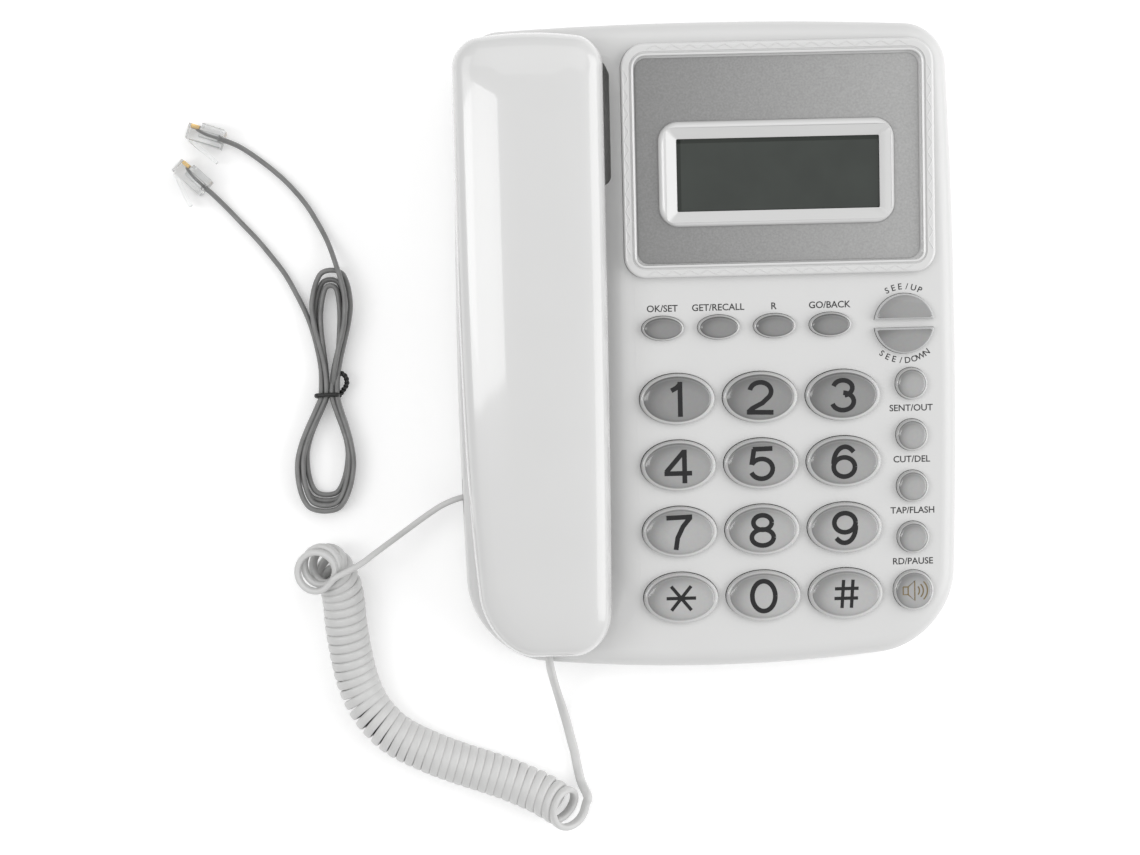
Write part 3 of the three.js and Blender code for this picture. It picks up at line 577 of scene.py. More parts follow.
def curly_cord():
    enter = unit(coil[1] - coil[0])
    leave = unit(coil[-1] - coil[-2])
    first = lead_in(BASE_LEAD, coil[0], enter)
    last = lead_out(HANDSET_LEAD, coil[-1], leave)
    line = np.vstack([first, coil, last])
    edge_on = (0, 0, -1)
    lying = (0.93, 0.1, 0.3)
    standing = (0.35, 0.1, 0.93)
    wide = np.vstack([
        turn_through([edge_on, edge_on, edge_on, coil_facing[0]], len(first)),
        coil_facing,
        turn_through([coil_facing[-1], lying, lying, standing, standing, standing], len(last)),
    ])
    keep = np.concatenate([[True], np.linalg.norm(np.diff(line, axis=0), axis=1) > 0.2])
    line, wide = line[keep] * MM, wide[keep]
    piece = tube("curly_cord", line, wide, ribbon_section(CORD_WIDTH * MM, CORD_THICKNESS * MM, 3.0))
    set_finish(piece, curly_pvc)
    return piece, line


curly, curly_line = curly_cord()
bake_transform(curly)
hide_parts("cord_coil", "cord_lead_base", "cord_lead_handset")
print("curly cord", round(run_length(curly_line), 3), "m")

# %% [markdown]
# ## The flat line cord
# The line cord is a flat two-core cord, 3.4 by 1.75 mm, folded by hand into a hank and pinched in the
# middle by a twist tie. It bends only across its thin side, so it stands on edge. The loop below goes
# round the hank turn by turn: each turn is two drop-shaped halves that meet in the neck, and each lies
# inside the one after it.

# %% Line cord: the route
LINE_WIDTH = 3.4
LINE_THICKNESS = 1.75
HANK_CENTRE = (-127.3, -12.4)
HANK_TURN = 0.045
# each half turn: reach from the neck, half width, half width in the neck, height, shift to the right
BOTTOM_TURNS = [
    (39.5, 9.6, 2.63, 4.9, -0.9),
    (37.6, 7.9, 0.9, 4.5, -0.7),
    (36.0, 8.8, 2.63, 1.8, -0.7),
    (33.9, 7.0, 0.9, 1.8, -0.4),
]
TOP_TURNS = [(42.6, 6.6, 2.63, 4.6, 0.0), (39.6, 5.0, 0.9, 2.0, -0.5), (37.4, 3.3, 2.63, 4.0, -0.3)]
BOTTOM_SHAPE = {"peak": 0.63, "rise": 1.3, "round": 0.65}
TOP_SHAPE = {"peak": 0.74, "rise": 2.6, "round": 0.62}
NECK_HEIGHTS = (5.3, 5.3, 1.9, 1.9)
LINE_LEAD_1 = [
    (-162.9, 75.9, 4.8), (-159.8, 74.9, 4.0), (-155.7, 73.1, 2.5), (-150.5, 69.6, 1.8), (-144.2, 64.5, 1.8),
    (-138.9, 59.3, 1.8), (-133.4, 52.4, 1.8), (-128.6, 44.0, 2.2), (-125.9, 38.0, 4.4), (-123.6, 31.1, 6.8),
    (-122.1, 26.3, 8.0), (-121.1, 21.2, 8.2), (-121.0, 17.1, 8.2), (-121.4, 12.0, 8.0), (-122.5, 7.0, 7.6),
    (-123.9, 1.9, 7.2), (-125.0, -4.0, 7.0),
]
LINE_LEAD_2 = [
    (-129.9, -5.0, 3.2), (-130.8, 2.0, 2.4), (-132.6, 9.6, 1.8), (-134.7, 15.7, 1.8), (-137.6, 22.0, 1.8),
    (-141.5, 29.3, 1.8), (-146.2, 35.8, 1.8), (-150.6, 41.3, 1.8), (-155.4, 46.6, 1.8), (-160.6, 52.3, 1.8),
    (-165.0, 56.8, 3.0), (-168.4, 59.9, 4.8),
]


def drop_width(t, half, neck, shape):
    """Half width of a drop-shaped loop at the share t of its length from the neck."""
    if t < shape["peak"]:
        return neck + (half - neck) * math.sin(math.pi / 2 * t / shape["peak"]) ** shape["rise"]
    end = math.sqrt(max(0.0, 1 - (2 * t - 1) ** 2))
    widest = math.sqrt(1 - (2 * shape["peak"] - 1) ** 2)
    return half * (end / widest) ** shape["round"]


def half_turn(turn, shape, sign, necks, first_side):
    """A half turn of the hank, from the neck round the loop's end and back, in the hank's own axes."""
    reach, half, _, height, shift = turn
    count = 23
    points = []
    for i in range(count):
        a = 2 * math.pi * i / (count - 1)
        leaving = i <= count // 2
        t = (1 - math.cos(a)) / 2
        neck, neck_height = necks[0] if leaving else necks[1]
        side = first_side if leaving else -first_side
        ease = min(1.0, t / 0.35)
        z = neck_height + (height - neck_height) * ease * ease * (3 - 2 * ease)
        x = side * drop_width(t, half, neck, shape) + shift * math.sin(math.pi / 2 * t)
        points.append((x, sign * reach * t, z))
    return points


def on_hank(points):
    c, s = math.cos(HANK_TURN), math.sin(HANK_TURN)
    x0, y0 = HANK_CENTRE
    return [(x0 + p * c + q * s, y0 - p * s + q * c, z) for p, q, z in points]


def line_route():
    slots = [(turn[2], height) for turn, height in zip(BOTTOM_TURNS, NECK_HEIGHTS)]
    loops = []
    for index in (3, 2, 1, 0):
        loops += half_turn(BOTTOM_TURNS[index], BOTTOM_SHAPE, -1, (slots[index], slots[index]), 1)[1:]
        if index:
            upper = half_turn(TOP_TURNS[index - 1], TOP_SHAPE, 1, (slots[index], slots[index - 1]), -1)
            loops += upper[1:]
    return LINE_LEAD_1 + on_hank(loops[:-1]) + LINE_LEAD_2


line_path = spline(line_route(), 0.9) * MM
print("line cord", round(run_length(line_path), 3), "m")

# %% Line cord: the mesh
upright = np.tile([0.0, 0.0, 1.0], (len(line_path), 1))
line_section = ribbon_section(LINE_WIDTH * MM, LINE_THICKNESS * MM, 2.6, 16)
line_cord = tube("line_cord", line_path, upright, line_section)
set_finish(line_cord, line_pvc)
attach(line_cord, "base")
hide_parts("line_cord_hank", "line_cord_lead_1", "line_cord_lead_2")

# %% [markdown]
# ## Plugs and tie
# Each end of the line cord has a clear modular plug, which stands on its narrow side: a block with a
# stepped nose, gold blades, a springy latch and two wires inside. The tie is a plastic-covered wire
# bent once round the neck of the hank and twisted on itself.

# %% Plug and tie
PLUG_SEATS = ((-166.9, 77.2, -0.32), (-171.8, 63.2, -0.76))
PLUG_LENGTH, PLUG_THICK, PLUG_WIDE = 12.2, 6.6, 9.65
TIE_RING = [
    (-131.5, -12.6, 1.0), (-131.75, -12.6, 4.2), (-131.2, -12.5, 7.4), (-127.9, -12.4, 8.0),
    (-124.6, -12.4, 7.4), (-124.1, -12.5, 4.2), (-124.5, -12.6, 1.0), (-128.0, -12.6, 0.7),
    (-131.5, -12.6, 1.0),
]
TIE_TAIL = [
    (-124.0, -12.6, 4.0), (-122.7, -11.0, 4.0), (-121.3, -8.8, 4.5), (-121.5, -6.5, 5.0),
    (-122.7, -5.2, 5.5), (-123.5, -5.7, 5.0),
]


def block(name, low, high, soft=0.0):
    """A block between two corners in millimetres, with all its edges rounded by soft."""
    piece = slab(name, *[(low[k] * MM, high[k] * MM) for k in range(3)])
    if soft:
        open_edit(piece, "EDGE")
        bpy.ops.mesh.select_all(action="SELECT")
        bpy.ops.mesh.bevel(offset=soft * MM, segments=3, affect="EDGES")
        close_edit(piece)
    return piece


def plug_parts():
    """The plug's clear body, its gold blades and its wires, with the cord leaving towards x."""
    half, thick = PLUG_LENGTH / 2, PLUG_THICK / 2
    body = block("plug_body", (-half, -thick, 0), (half, thick, PLUG_WIDE), 0.35)
    boolean(body, block("nose_step", (-half - 1, thick - 1.3, -1), (-half + 4.4, thick + 1, PLUG_WIDE + 1)))
    boolean(body, block("wire_room", (-2.2, -1.3, 2.7), (half - 1.2, 1.0, 6.9), 0.2))
    latch = block("latch", (0, -0.8, 3.2), (12.6, 0.8, 6.4), 0.5)
    hinge = ((-half + 0.9) * MM, (-thick + 0.2) * MM, 0)
    latch.matrix_world = Matrix.Translation(hinge) @ Matrix.Rotation(-0.4, 4, "Z")
    take(latch)
    bpy.ops.object.transform_apply(location=True, rotation=True, scale=True)
    boolean(body, latch, "UNION")
    blades = []
    for k in range(4):
        low = (-half + 0.7, thick - 2.4, 2.9 + 1.27 * k)
        high = (-half + 3.4, thick - 1.1, 3.2 + 1.27 * k)
        blades.append(block("blade", low, high))
    wires = []
    for height in (4.2, 5.4):
        route = [(-3.4, 0.8, height), (-1.5, 0.3, height), (1.0, 0, height), (4.6, 0, height)]
        line = spline(route, 0.4) * MM
        wide = np.tile([0.0, 0.0, 1.0], (len(line), 1))
        wires.append(tube("wire", line, wide, ribbon_section(0.9 * MM, 0.9 * MM, 2, 10)))
    return body, join("plug_blades", blades), join("plug_wires", wires)


parts = plug_parts()
for number, (x, y, turn) in enumerate(PLUG_SEATS, 1):
    seat = Matrix.Translation((x * MM, y * MM, 0)) @ Matrix.Rotation(turn, 4, "Z")
    for part, metal in zip(parts, (clear_pc, gold_plate, line_pvc)):
        copy = part.copy()
        copy.data = part.data.copy()
        copy.name = f"{part.name}_{number}"
        bpy.context.scene.collection.objects.link(copy)
        copy.matrix_world = seat
        slot_name, replaced = ("clear_plug", [f"line_plug_{number}"]) if part is parts[0] else (None, ())
        finish_piece(copy, metal, "base", replaced, on_deck=False)
for part in parts:
    bpy.data.objects.remove(part)


def twisted_tail(points, radius, pitch):
    """Two strands wound round each other along a line."""
    line = spline(points, 0.2)
    run = run_along(line)
    tangent = unit(np.gradient(line, axis=0))
    side = unit(np.cross(tangent, [0.0, 0.0, 1.0]))
    over = np.cross(tangent, side)
    strands = []
    for start in (0, math.pi):
        angle = (start + 2 * math.pi * run / pitch)[:, None]
        strand = (line + radius * (np.cos(angle) * side + np.sin(angle) * over)) * MM
        strands.append(tube("strand", strand, over, ribbon_section(0.95 * MM, 0.95 * MM, 2, 10)))
    return strands


ring_line = spline(TIE_RING, 0.4) * MM
ring_wide = np.tile([0.0, 1.0, 0.0], (len(ring_line), 1))
ring = tube("ring", ring_line, ring_wide, ribbon_section(1.5 * MM, 1.3 * MM, 2, 12))
tie = join("twist_tie", [ring] + twisted_tail(TIE_TAIL, 0.45, 2.6))
finish_piece(tie, tie_pvc, "base", ["line_cord_tie"], on_deck=False, angle=50)
print("plugs and tie done")

# %% [markdown]
# ## The base cover
# The base is one injection moulding: a wedge with bowed sides, a drafted skirt, a soft 5 mm shoulder
# and a flat sloping deck, with the cradle sunk into its left side. It could be carved from a block, but
# it is quicker to draw its outline flat, pull it up, slice it with the deck plane and round the edge.
# A smaller wedge, itself cut by the same pans grown by the wall, is taken out of the inside.

# %% Base outline and wedge
BASE_BOX = {"left": -81, "right": 81, "front": -101.2, "rear": 104.86}
SKIRT_Z = 2.5
COVER_WALL = 2.2
SIDE_BOW, FRONT_BOW, REAR_BOW = 0.031, 0.06, 0.023
FRONT_CORNER, REAR_CORNER, SHOULDER = 24, 13, 5
BLANK_HEIGHT = 0.06
SKIRT_DRAFT = (0.97, 0.976, 1)
# where the deck is cut into cells, in millimetres: between the columns and between the rows of keys
CELL_EDGES_U = (-79, -54, -29.2, 2.9, 30.3, 57.9)
CELL_EDGES_V = (-92.8, -72.9, -50.9, -28.8, -6.4, 17.4, 60)


def bow_outline(piece):
    for vertex in piece.data.vertices:
        x, y = vertex.co.x / MM, vertex.co.y / MM
        half = -BASE_BOX["front"] if y < 0 else BASE_BOX["rear"]
        bow = FRONT_BOW if y < 0 else REAR_BOW
        vertex.co.x = x * (1 + SIDE_BOW * (1 - min(1, (y / half) ** 2))) * MM
        vertex.co.y = y * (1 + bow * (1 - min(1, (x / BASE_BOX["right"]) ** 2))) * MM


def wedge_blank(name, inset=0.0):
    """The wedge as a solid block, or the same wedge smaller all round by inset millimetres."""
    width = BASE_BOX["right"] - BASE_BOX["left"] - 2 * inset
    length = BASE_BOX["rear"] - BASE_BOX["front"] - 2 * inset
    middle = (BASE_BOX["rear"] + BASE_BOX["front"]) / 2
    foot = SKIRT_Z - (1 if inset else 0)
    bpy.ops.object.select_all(action="DESELECT")
    bpy.ops.mesh.primitive_plane_add(size=1, location=(0, middle * MM, foot * MM))
    piece = bpy.context.active_object
    piece.name = name
    piece.scale = (width * MM, length * MM, 1)
    bpy.ops.object.transform_apply(location=True, rotation=True, scale=True)
    for radius, front in ((FRONT_CORNER - inset, True), (REAR_CORNER - inset, False)):
        mesh = open_edit(piece, "VERT")
        limit = (middle + (-1 if front else 1) * (length / 2 - 0.1)) * MM
        for vertex in mesh.verts:
            vertex.select_set(vertex.co.y < limit if front else vertex.co.y > limit)
        bmesh.update_edit_mesh(piece.data)
        bpy.ops.mesh.bevel(offset=radius * MM, segments=18, affect="VERTICES")
        close_edit(piece)
    select_edges(piece, lambda edge: edge.calc_length() > 20 * MM)
    bpy.ops.mesh.subdivide(number_cuts=23)
    close_edit(piece)
    bow_outline(piece)
    open_edit(piece)
    bpy.ops.mesh.select_all(action="SELECT")
    bpy.ops.mesh.extrude_region_move(TRANSFORM_OT_translate={"value": (0, 0, BLANK_HEIGHT)})
    bpy.ops.transform.resize(value=SKIRT_DRAFT)
    bpy.ops.mesh.select_all(action="SELECT")
    bpy.ops.mesh.normals_make_consistent(inside=False)
    slice_at = DECK @ Vector((0, 0, -inset * MM))
    bpy.ops.mesh.bisect(plane_co=slice_at, plane_no=deck_normal, use_fill=True, clear_outer=True)
    close_edit(piece)
    flat = DECK.inverted()
    select_edges(piece, lambda edge: all(abs((flat @ v.co).z + inset * MM) < 1e-6 for v in edge.verts))
    shoulder = (SHOULDER - inset) * MM
    bpy.ops.mesh.bevel(offset=shoulder, segments=8, profile=0.5, affect="EDGES", clamp_overlap=False)
    close_edit(piece)
    return piece


def divide_deck(piece):
    """Cuts the deck into cells between the keys, so that no face has more than a hole or two."""
    select_faces(piece, lambda face: face.calc_area() > 0.01 and face.normal.z > 0.9)
    bpy.ops.mesh.inset(thickness=0.4 * MM, depth=0)
    for u in CELL_EDGES_U:
        bpy.ops.mesh.select_all(action="SELECT")
        bpy.ops.mesh.bisect(plane_co=(u * MM, 0, 0), plane_no=(1, 0, 0))
    across = DECK.to_3x3() @ Vector((0, 1, 0))
    for v in CELL_EDGES_V:
        bpy.ops.mesh.select_all(action="SELECT")
        bpy.ops.mesh.bisect(plane_co=DECK @ Vector((0, v * MM, 0)), plane_no=across)
    close_edit(piece)


base_cover = wedge_blank("base_cover")
divide_deck(base_cover)
core = wedge_blank("core", COVER_WALL)
print("base cover faces", len(base_cover.data.polygons))

# %% [markdown]
# ## The cradle
# The handset lies in a trough with deeper pockets under the earpiece and the mouthpiece. On the right
# the trough opens into a long soft scoop, and a deep slot beside the earpiece lets fingers reach under.

# %% Cradle pans and cutters
TROUGH = {"left": -77.6, "right": -38, "front": -97.5, "rear": 97, "front_radius": 19, "rear_radius": 9}
EAR_POCKET = {"left": -76.5, "right": -30.8, "front": 50, "rear": 96.5, "front_radius": 12, "rear_radius": 9}
MOUTH_POCKET = {"left": -76, "right": -38, "front": -96.5, "rear": -58, "front_radius": 17, "rear_radius": 8}
FINGER_SLOT = {"left": -38, "right": -30.8, "front": 53, "rear": 92, "front_radius": 3.3, "rear_radius": 3.3}
POCKETS = ((TROUGH, -9), (EAR_POCKET, -12), (MOUTH_POCKET, -11), (FINGER_SLOT, -17))
SCOOP_EDGE = -23.6
# the scoop's cross section: how far below the deck, and how far right the surface is there
SCOOP_RIGHT = [
    (-9, -43), (-6.4, -39.8), (-4.2, -36.8), (-2.6, -34.2), (-1.55, -31.6), (-0.85, -29.4), (-0.4, -27.3),
    (-0.15, -25.6), (-0.03, -24.4), (0.02, -23.6), (0.3, -22.3), (1.5, -20.0),
]


def deck_slab(name, box, w, grow=0.0, rim=0.0):
    """A slab in the deck's axes from a box in millimetres, tilted onto the deck."""
    u = ((box["left"] - grow) * MM, (box["right"] + grow) * MM)
    v = ((box["front"] - grow) * MM, (box["rear"] + grow) * MM)
    front = (box["front_radius"] + grow) * MM
    rear = (box["rear_radius"] + grow) * MM
    piece = slab(name, u, v, (w[0] * MM, w[1] * MM), front, rear, segments=14)
    if rim:
        round_level(piece, w[0] * MM, rim * MM, 5)
    return tilt(piece)


def tilt(piece):
    take(piece)
    piece.matrix_world = DECK @ piece.matrix_world
    bpy.ops.object.transform_apply(location=True, rotation=True, scale=True)
    return piece


def rounded_ring(box, w, arc=10):
    left, right, front, rear = (box[k] for k in ("left", "right", "front", "rear"))
    fr, rr = box["front_radius"], box["rear_radius"]
    fl = box.get("front_left_radius", fr)
    corners = ((right - fr, front + fr, fr), (right - rr, rear - rr, rr), (left + rr, rear - rr, rr),
               (left + fl, front + fl, fl))
    ring = []
    for quarter, (x, y, radius) in enumerate(corners):
        for i in range(arc + 1):
            a = (quarter - 1 + i / arc) * math.pi / 2
            ring.append((x + radius * math.cos(a), y + radius * math.sin(a), w))
    return (np.array(ring) * MM).tolist()


def scoop(name, grow):
    levels = spline([(w, right, 0) for w, right in SCOOP_RIGHT], 0.9)
    rings = []
    for k, (w, right, _) in enumerate(levels):
        depth = max(0, SCOOP_EDGE - right)
        box = {"left": -70, "right": right + grow,
               "front": -97 + 0.8 * depth - grow, "rear": 96 - 0.3 * depth + grow,
               "front_radius": 16, "rear_radius": 12}
        rings.append(rounded_ring(box, w - (grow if k == 0 else 0)))
    return tilt(loft(name, rings))


def cradle_tools(grow):
    tools = [deck_slab("pocket", box, (floor - grow, 1.5), grow, 2.2 + grow) for box, floor in POCKETS]
    return tools + [scoop("scoop", grow)]


for pan in cradle_tools(COVER_WALL):
    boolean(core, pan)
print("core faces", len(core.data.polygons))

# %% [markdown]
# ## Holes in the deck
# Every key comes up through its own hole with a sixth of a millimetre to spare all round, and the
# display frame drops into a recess. All the key holes are cut in one go.

# %% Key layout
KEY_SIZE = (24.8, 16.9)
SMALL_KEY_SIZE = (13.9, 8.0)
ROUND_KEY_SIZE = (10.5, 10.5)
SPEAKER_KEY_SIZE = (13.3, 13.3)
SCROLL_RADIUS = 9.9
SCROLL_BAR = 2.8
HOLE_CLEARANCE = 0.17
DIGITS = {**{f"key_{digit}": digit for digit in "123456789"}, "key_star": "*", "key_0": "0", "key_hash": "#"}
SMALL_LABELS = {
    "set_key": "OK/SET",
    "recall_key": "GET/RECALL",
    "register_key": "R",
    "back_key": "GO/BACK",
}
ROUND_LABELS = {
    "out_key": "SENT/OUT",
    "delete_key": "CUT/DEL",
    "flash_key": "TAP/FLASH",
    "redial_key": "RD/PAUSE",
}
KEYS = {
    **{name: KEY_SIZE for name in DIGITS},
    **{name: SMALL_KEY_SIZE for name in SMALL_LABELS},
    **{name: ROUND_KEY_SIZE for name in ROUND_LABELS},
    "speaker_key": SPEAKER_KEY_SIZE,
}
scroll_centre = (node_on_deck("up_key") + node_on_deck("down_key")) / 2


def ellipse_slab(name, node, grow, w):
    at = node_on_deck(node)
    size = [(d + 2 * grow) * MM for d in KEYS[node]]
    return round_slab(name, at.x, at.y, size, (w[0] * MM, w[1] * MM), vertices=72)


def half_moon(name, up, grow, w):
    size = [2 * (SCROLL_RADIUS + grow) * MM] * 2
    piece = round_slab(name, scroll_centre.x, scroll_centre.y, size, (w[0] * MM, w[1] * MM), 48)
    sign = 1 if up else -1
    edge = scroll_centre.y + sign * (SCROLL_BAR / 2 - grow) * MM
    open_edit(piece)
    bpy.ops.mesh.select_all(action="SELECT")
    chord = (scroll_centre.x, edge, 0)
    bpy.ops.mesh.bisect(plane_co=chord, plane_no=(0, sign, 0), use_fill=True, clear_inner=True)
    bpy.ops.mesh.select_all(action="SELECT")
    bpy.ops.mesh.remove_doubles(threshold=0.4 * MM)
    close_edit(piece)
    return piece


# %% Cut the deck
FRAME = {"left": -27.2, "right": 75.1, "front": 22.5, "rear": 98.9, "front_radius": 7, "rear_radius": 8}


def grown(box, by):
    """The same box with every side and radius larger by so many millimetres."""
    return {key: value - by if key in ("left", "front") else value + by for key, value in box.items()}


boolean(core, deck_slab("display_seat", grown(FRAME, 2.4), (-6.4, 1)))
boolean(base_cover, core)
for hollow in cradle_tools(0):
    boolean(base_cover, hollow)
boolean(base_cover, deck_slab("display_recess", grown(FRAME, 0.08), (-4.3, 2)))
boolean(base_cover, deck_slab("display_through", grown(FRAME, -3), (-10, 2)))
holes = [ellipse_slab("hole", node, HOLE_CLEARANCE, (-3.4, 1)) for node in KEYS]
holes += [half_moon("hole", up, HOLE_CLEARANCE, (-3.4, 1)) for up in (True, False)]
boolean(base_cover, tilt(join("key_holes", holes)))
plunger_at = node_on_deck("hook_plunger")
plunger_box = {"left": plunger_at.x / MM - 4.4, "right": plunger_at.x / MM + 4.4, "front": 34.2, "rear": 45.9,
               "front_radius": 2.3, "rear_radius": 2.3}
boolean(base_cover, deck_slab("plunger_guide", plunger_box, (-16, 0)))
JACK_REACH = 0.008
for node in ("handset_jack", "line_jack"):
    low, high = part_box(node)
    reach = Vector((JACK_REACH, 0, 0)) if node == "handset_jack" else Vector((0, -JACK_REACH, 0))
    gap = Vector((0.3, 0.3, 0.3)) * MM
    low, high = low - gap - (reach if reach.x else Vector()), high + gap - (reach if reach.y else Vector())
    boolean(base_cover, slab("jack_hole", (low.x, high.x), (low.y, high.y), (low.z, high.z)))


def crisp_deck(piece):
    """Keeps the deck's shading flat by making the borders of its cells sharp."""
    mesh = open_edit(piece)
    for face in mesh.faces:
        on_plane = all(abs((DECK.inverted() @ v.co).z) < 2e-6 for v in face.verts)
        face.select_set(on_plane and face.calc_area() > 8e-6)
    bmesh.update_edit_mesh(piece.data)
    bpy.ops.mesh.region_to_loop()
    bpy.ops.mesh.mark_sharp()
    close_edit(piece)


crisp_deck(base_cover)
finish_piece(base_cover, white_deck, "base", ["base_top_cover"], on_deck=False, angle=24,
             weighted=True)
print("base cover faces", len(base_cover.data.polygons))


# %% [markdown]
# ## Keys
# A key looks like a clear cap over silver: a glossy wall, a rounded shoulder, a fine groove and a low
# crown. It is one opaque mesh, and its finish stands for both layers. Each key is made from a short
# elliptical slab by insetting its top face again and again, as a toolmaker would step a cavity. The
# digits are printed on top, a few hundredths thick.

# %% Key finish
# painted shade on the key faces and a painted reflection on the key walls, as tones along the cap's map
KEY_FACE_SHADE_TONES = [(0.0, 0.37), (0.5, 0.355), (0.75, 0.30), (0.95, 0.215), (1.2, 0.16)]
KEY_WALL_REFLECTION_TONES = [(0.0, 0.62), (0.5, 0.5), (1.0, 0.4)]
# painted reflection: the key faces are made lighter row by row towards the front, for the reflections that
# the caps catch
ROW_REFLECTION_LIFTS = {"key_1": 0.75, "key_4": 0.97, "key_7": 1.19, "key_star": 1.27}


def tone_ramp(nodes, tones, reach):
    ramp = nodes.new("ShaderNodeValToRGB")
    ramp.color_ramp.elements.remove(ramp.color_ramp.elements[1])
    for k, (at, tone) in enumerate(tones):
        stop = ramp.color_ramp.elements[0] if k == 0 else ramp.color_ramp.elements.new(at / reach)
        stop.position = at / reach
        stop.color = (tone, tone, tone * 0.995, 1)
    return ramp


def operation(nodes, kind, name, value=None):
    """A node that works on numbers or vectors, with its second input set if a value is given."""
    node = nodes.new(kind)
    node.operation = name
    if value is not None:
        node.inputs[1].default_value = value
    return node


def key_material(name, lift):
    """Stands for silver under clear plastic, with painted light: painted shade darkens the face towards the
    upper left and near the rim, and a painted reflection keeps the wall bright, brightest at the lower right.
    """
    material = bpy.data.materials.new(name)
    material.use_nodes = True
    nodes, links = material.node_tree.nodes, material.node_tree.links
    shader = nodes["Principled BSDF"]
    shader.inputs["Roughness"].default_value = 0.16
    shader.inputs["Coat Weight"].default_value = 0.6
    place = nodes.new("ShaderNodeUVMap")
    place.uv_map = "cap"
    reach = 1.3
    distances = []
    for centre in ((0.0, 0.0), (0.2, -0.16)):
        shift = operation(nodes, "ShaderNodeVectorMath", "SUBTRACT", (*centre, 0))
        length = operation(nodes, "ShaderNodeVectorMath", "LENGTH")
        scale = operation(nodes, "ShaderNodeMath", "DIVIDE", reach)
        links.new(place.outputs["UV"], shift.inputs[0])
        links.new(shift.outputs["Vector"], length.inputs[0])
        links.new(length.outputs["Value"], scale.inputs[0])
        distances.append(scale.outputs["Value"])
    face = tone_ramp(nodes, [(at, tone * lift) for at, tone in KEY_FACE_SHADE_TONES], reach)
    wall = tone_ramp(nodes, [(at, tone) for at, tone in KEY_WALL_REFLECTION_TONES], 1.0)
    side = operation(nodes, "ShaderNodeVectorMath", "DOT_PRODUCT", (-0.35, 0.36, 0))
    half = operation(nodes, "ShaderNodeMath", "ADD", 0.5)
    links.new(place.outputs["UV"], side.inputs[0])
    links.new(side.outputs["Value"], half.inputs[0])
    links.new(half.outputs["Value"], wall.inputs["Fac"])
    edge = nodes.new("ShaderNodeMapRange")
    edge.inputs["From Min"].default_value = 0.885 / reach
    edge.inputs["From Max"].default_value = 0.905 / reach
    mix = nodes.new("ShaderNodeMix")
    mix.data_type = "RGBA"
    speck = nodes.new("ShaderNodeTexNoise")
    speck.inputs["Scale"].default_value = 900
    tint = nodes.new("ShaderNodeMix")
    tint.data_type = "RGBA"
    tint.blend_type = "MULTIPLY"
    tint.inputs["Factor"].default_value = 0.12
    position = nodes.new("ShaderNodeTexCoord")
    links.new(distances[1], face.inputs["Fac"])
    links.new(distances[0], edge.inputs["Value"])
    links.new(edge.outputs["Result"], mix.inputs["Factor"])
    links.new(face.outputs["Color"], mix.inputs["A"])
    links.new(wall.outputs["Color"], mix.inputs["B"])
    links.new(position.outputs["Object"], speck.inputs["Vector"])
    links.new(mix.outputs["Result"], tint.inputs["A"])
    links.new(speck.outputs["Color"], tint.inputs["B"])
    links.new(tint.outputs["Result"], shader.inputs["Base Color"])
    return material


key_rows = [("key_1", "key_2", "key_3"), ("key_4", "key_5", "key_6"), ("key_7", "key_8", "key_9"),
            ("key_star", "key_0", "key_hash")]
cap_finish = {}
for row in key_rows:
    row_silver = key_material("silver_of_" + row[0], ROW_REFLECTION_LIFTS[row[0]])
    cap_finish.update({node: row_silver for node in row})
# darker and lighter copies of the same key finish, each with its painted shade and painted reflection
dark_silver = key_material("silver_of_small_keys", 0.68)
cap_finish.update({node: dark_silver for node in SMALL_LABELS})
light_silver = key_material("silver_of_round_keys", 1.08)
cap_finish.update({node: light_silver for node in [*ROUND_LABELS, "speaker_key"]})
scroll_silver = key_material("silver_of_scroll_keys", 0.86)


def map_cap(piece, centre, size):
    """A flat map over the cap: 0 in the middle and 1 at the rim."""
    uv = piece.data.uv_layers.new(name="cap")
    for loop in piece.data.loops:
        co = piece.data.vertices[loop.vertex_index].co
        across = (co.x - centre.x) / (size[0] * MM / 2)
        along = (co.y - centre.y) / (size[1] * MM / 2)
        uv.data[loop.index].uv = (across, along)


# %% Key caps
KEY_STEPS = [(0.14, 0.22), (0.2, 0.2), (0.26, 0.12), (0.3, 0.06), (0.3, 0.0), (0.12, -0.1), (0.12, 0.1),
             (0.5, 0.1), (0.8, 0.1), (1.2, 0.08)]
SMALL_STEPS = [(0.1, 0.2), (0.14, 0.2), (0.2, 0.12), (0.2, 0.05), (0.1, -0.1), (0.1, 0.1), (0.3, 0.1),
               (0.5, 0.08)]
SCROLL_STEPS = [(0.1, 0.2), (0.12, 0.2), (0.14, 0.12), (0.08, -0.08), (0.08, 0.1), (0.22, 0.08)]
KEY_BASE_W = -3.5
KEY_WALL_W = 1.75
KEY_TOP_W = KEY_WALL_W + sum(rise for _, rise in KEY_STEPS)


def key_template(node):
    """One finished cap at the deck's centre, to be copied for every key of its size."""
    size = KEYS[node]
    cap = round_slab("cap", 0, 0, (size[0] * MM, size[1] * MM), (-3 * MM, KEY_WALL_W * MM), 72)
    steps = KEY_STEPS if size == KEY_SIZE else SMALL_STEPS
    inset_steps(cap, [(i * MM, r * MM) for i, r in steps])
    flange = [(d + 2) * MM for d in size]
    boolean(cap, round_slab("flange", 0, 0, flange, (KEY_BASE_W * MM, -2.5 * MM), 72), "UNION")
    map_cap(cap, Vector(), size)
    return cap


def place_copy(template, name, at):
    copy = template.copy()
    copy.data = template.data.copy()
    copy.name = name
    copy.location = at
    bpy.context.scene.collection.objects.link(copy)
    return copy


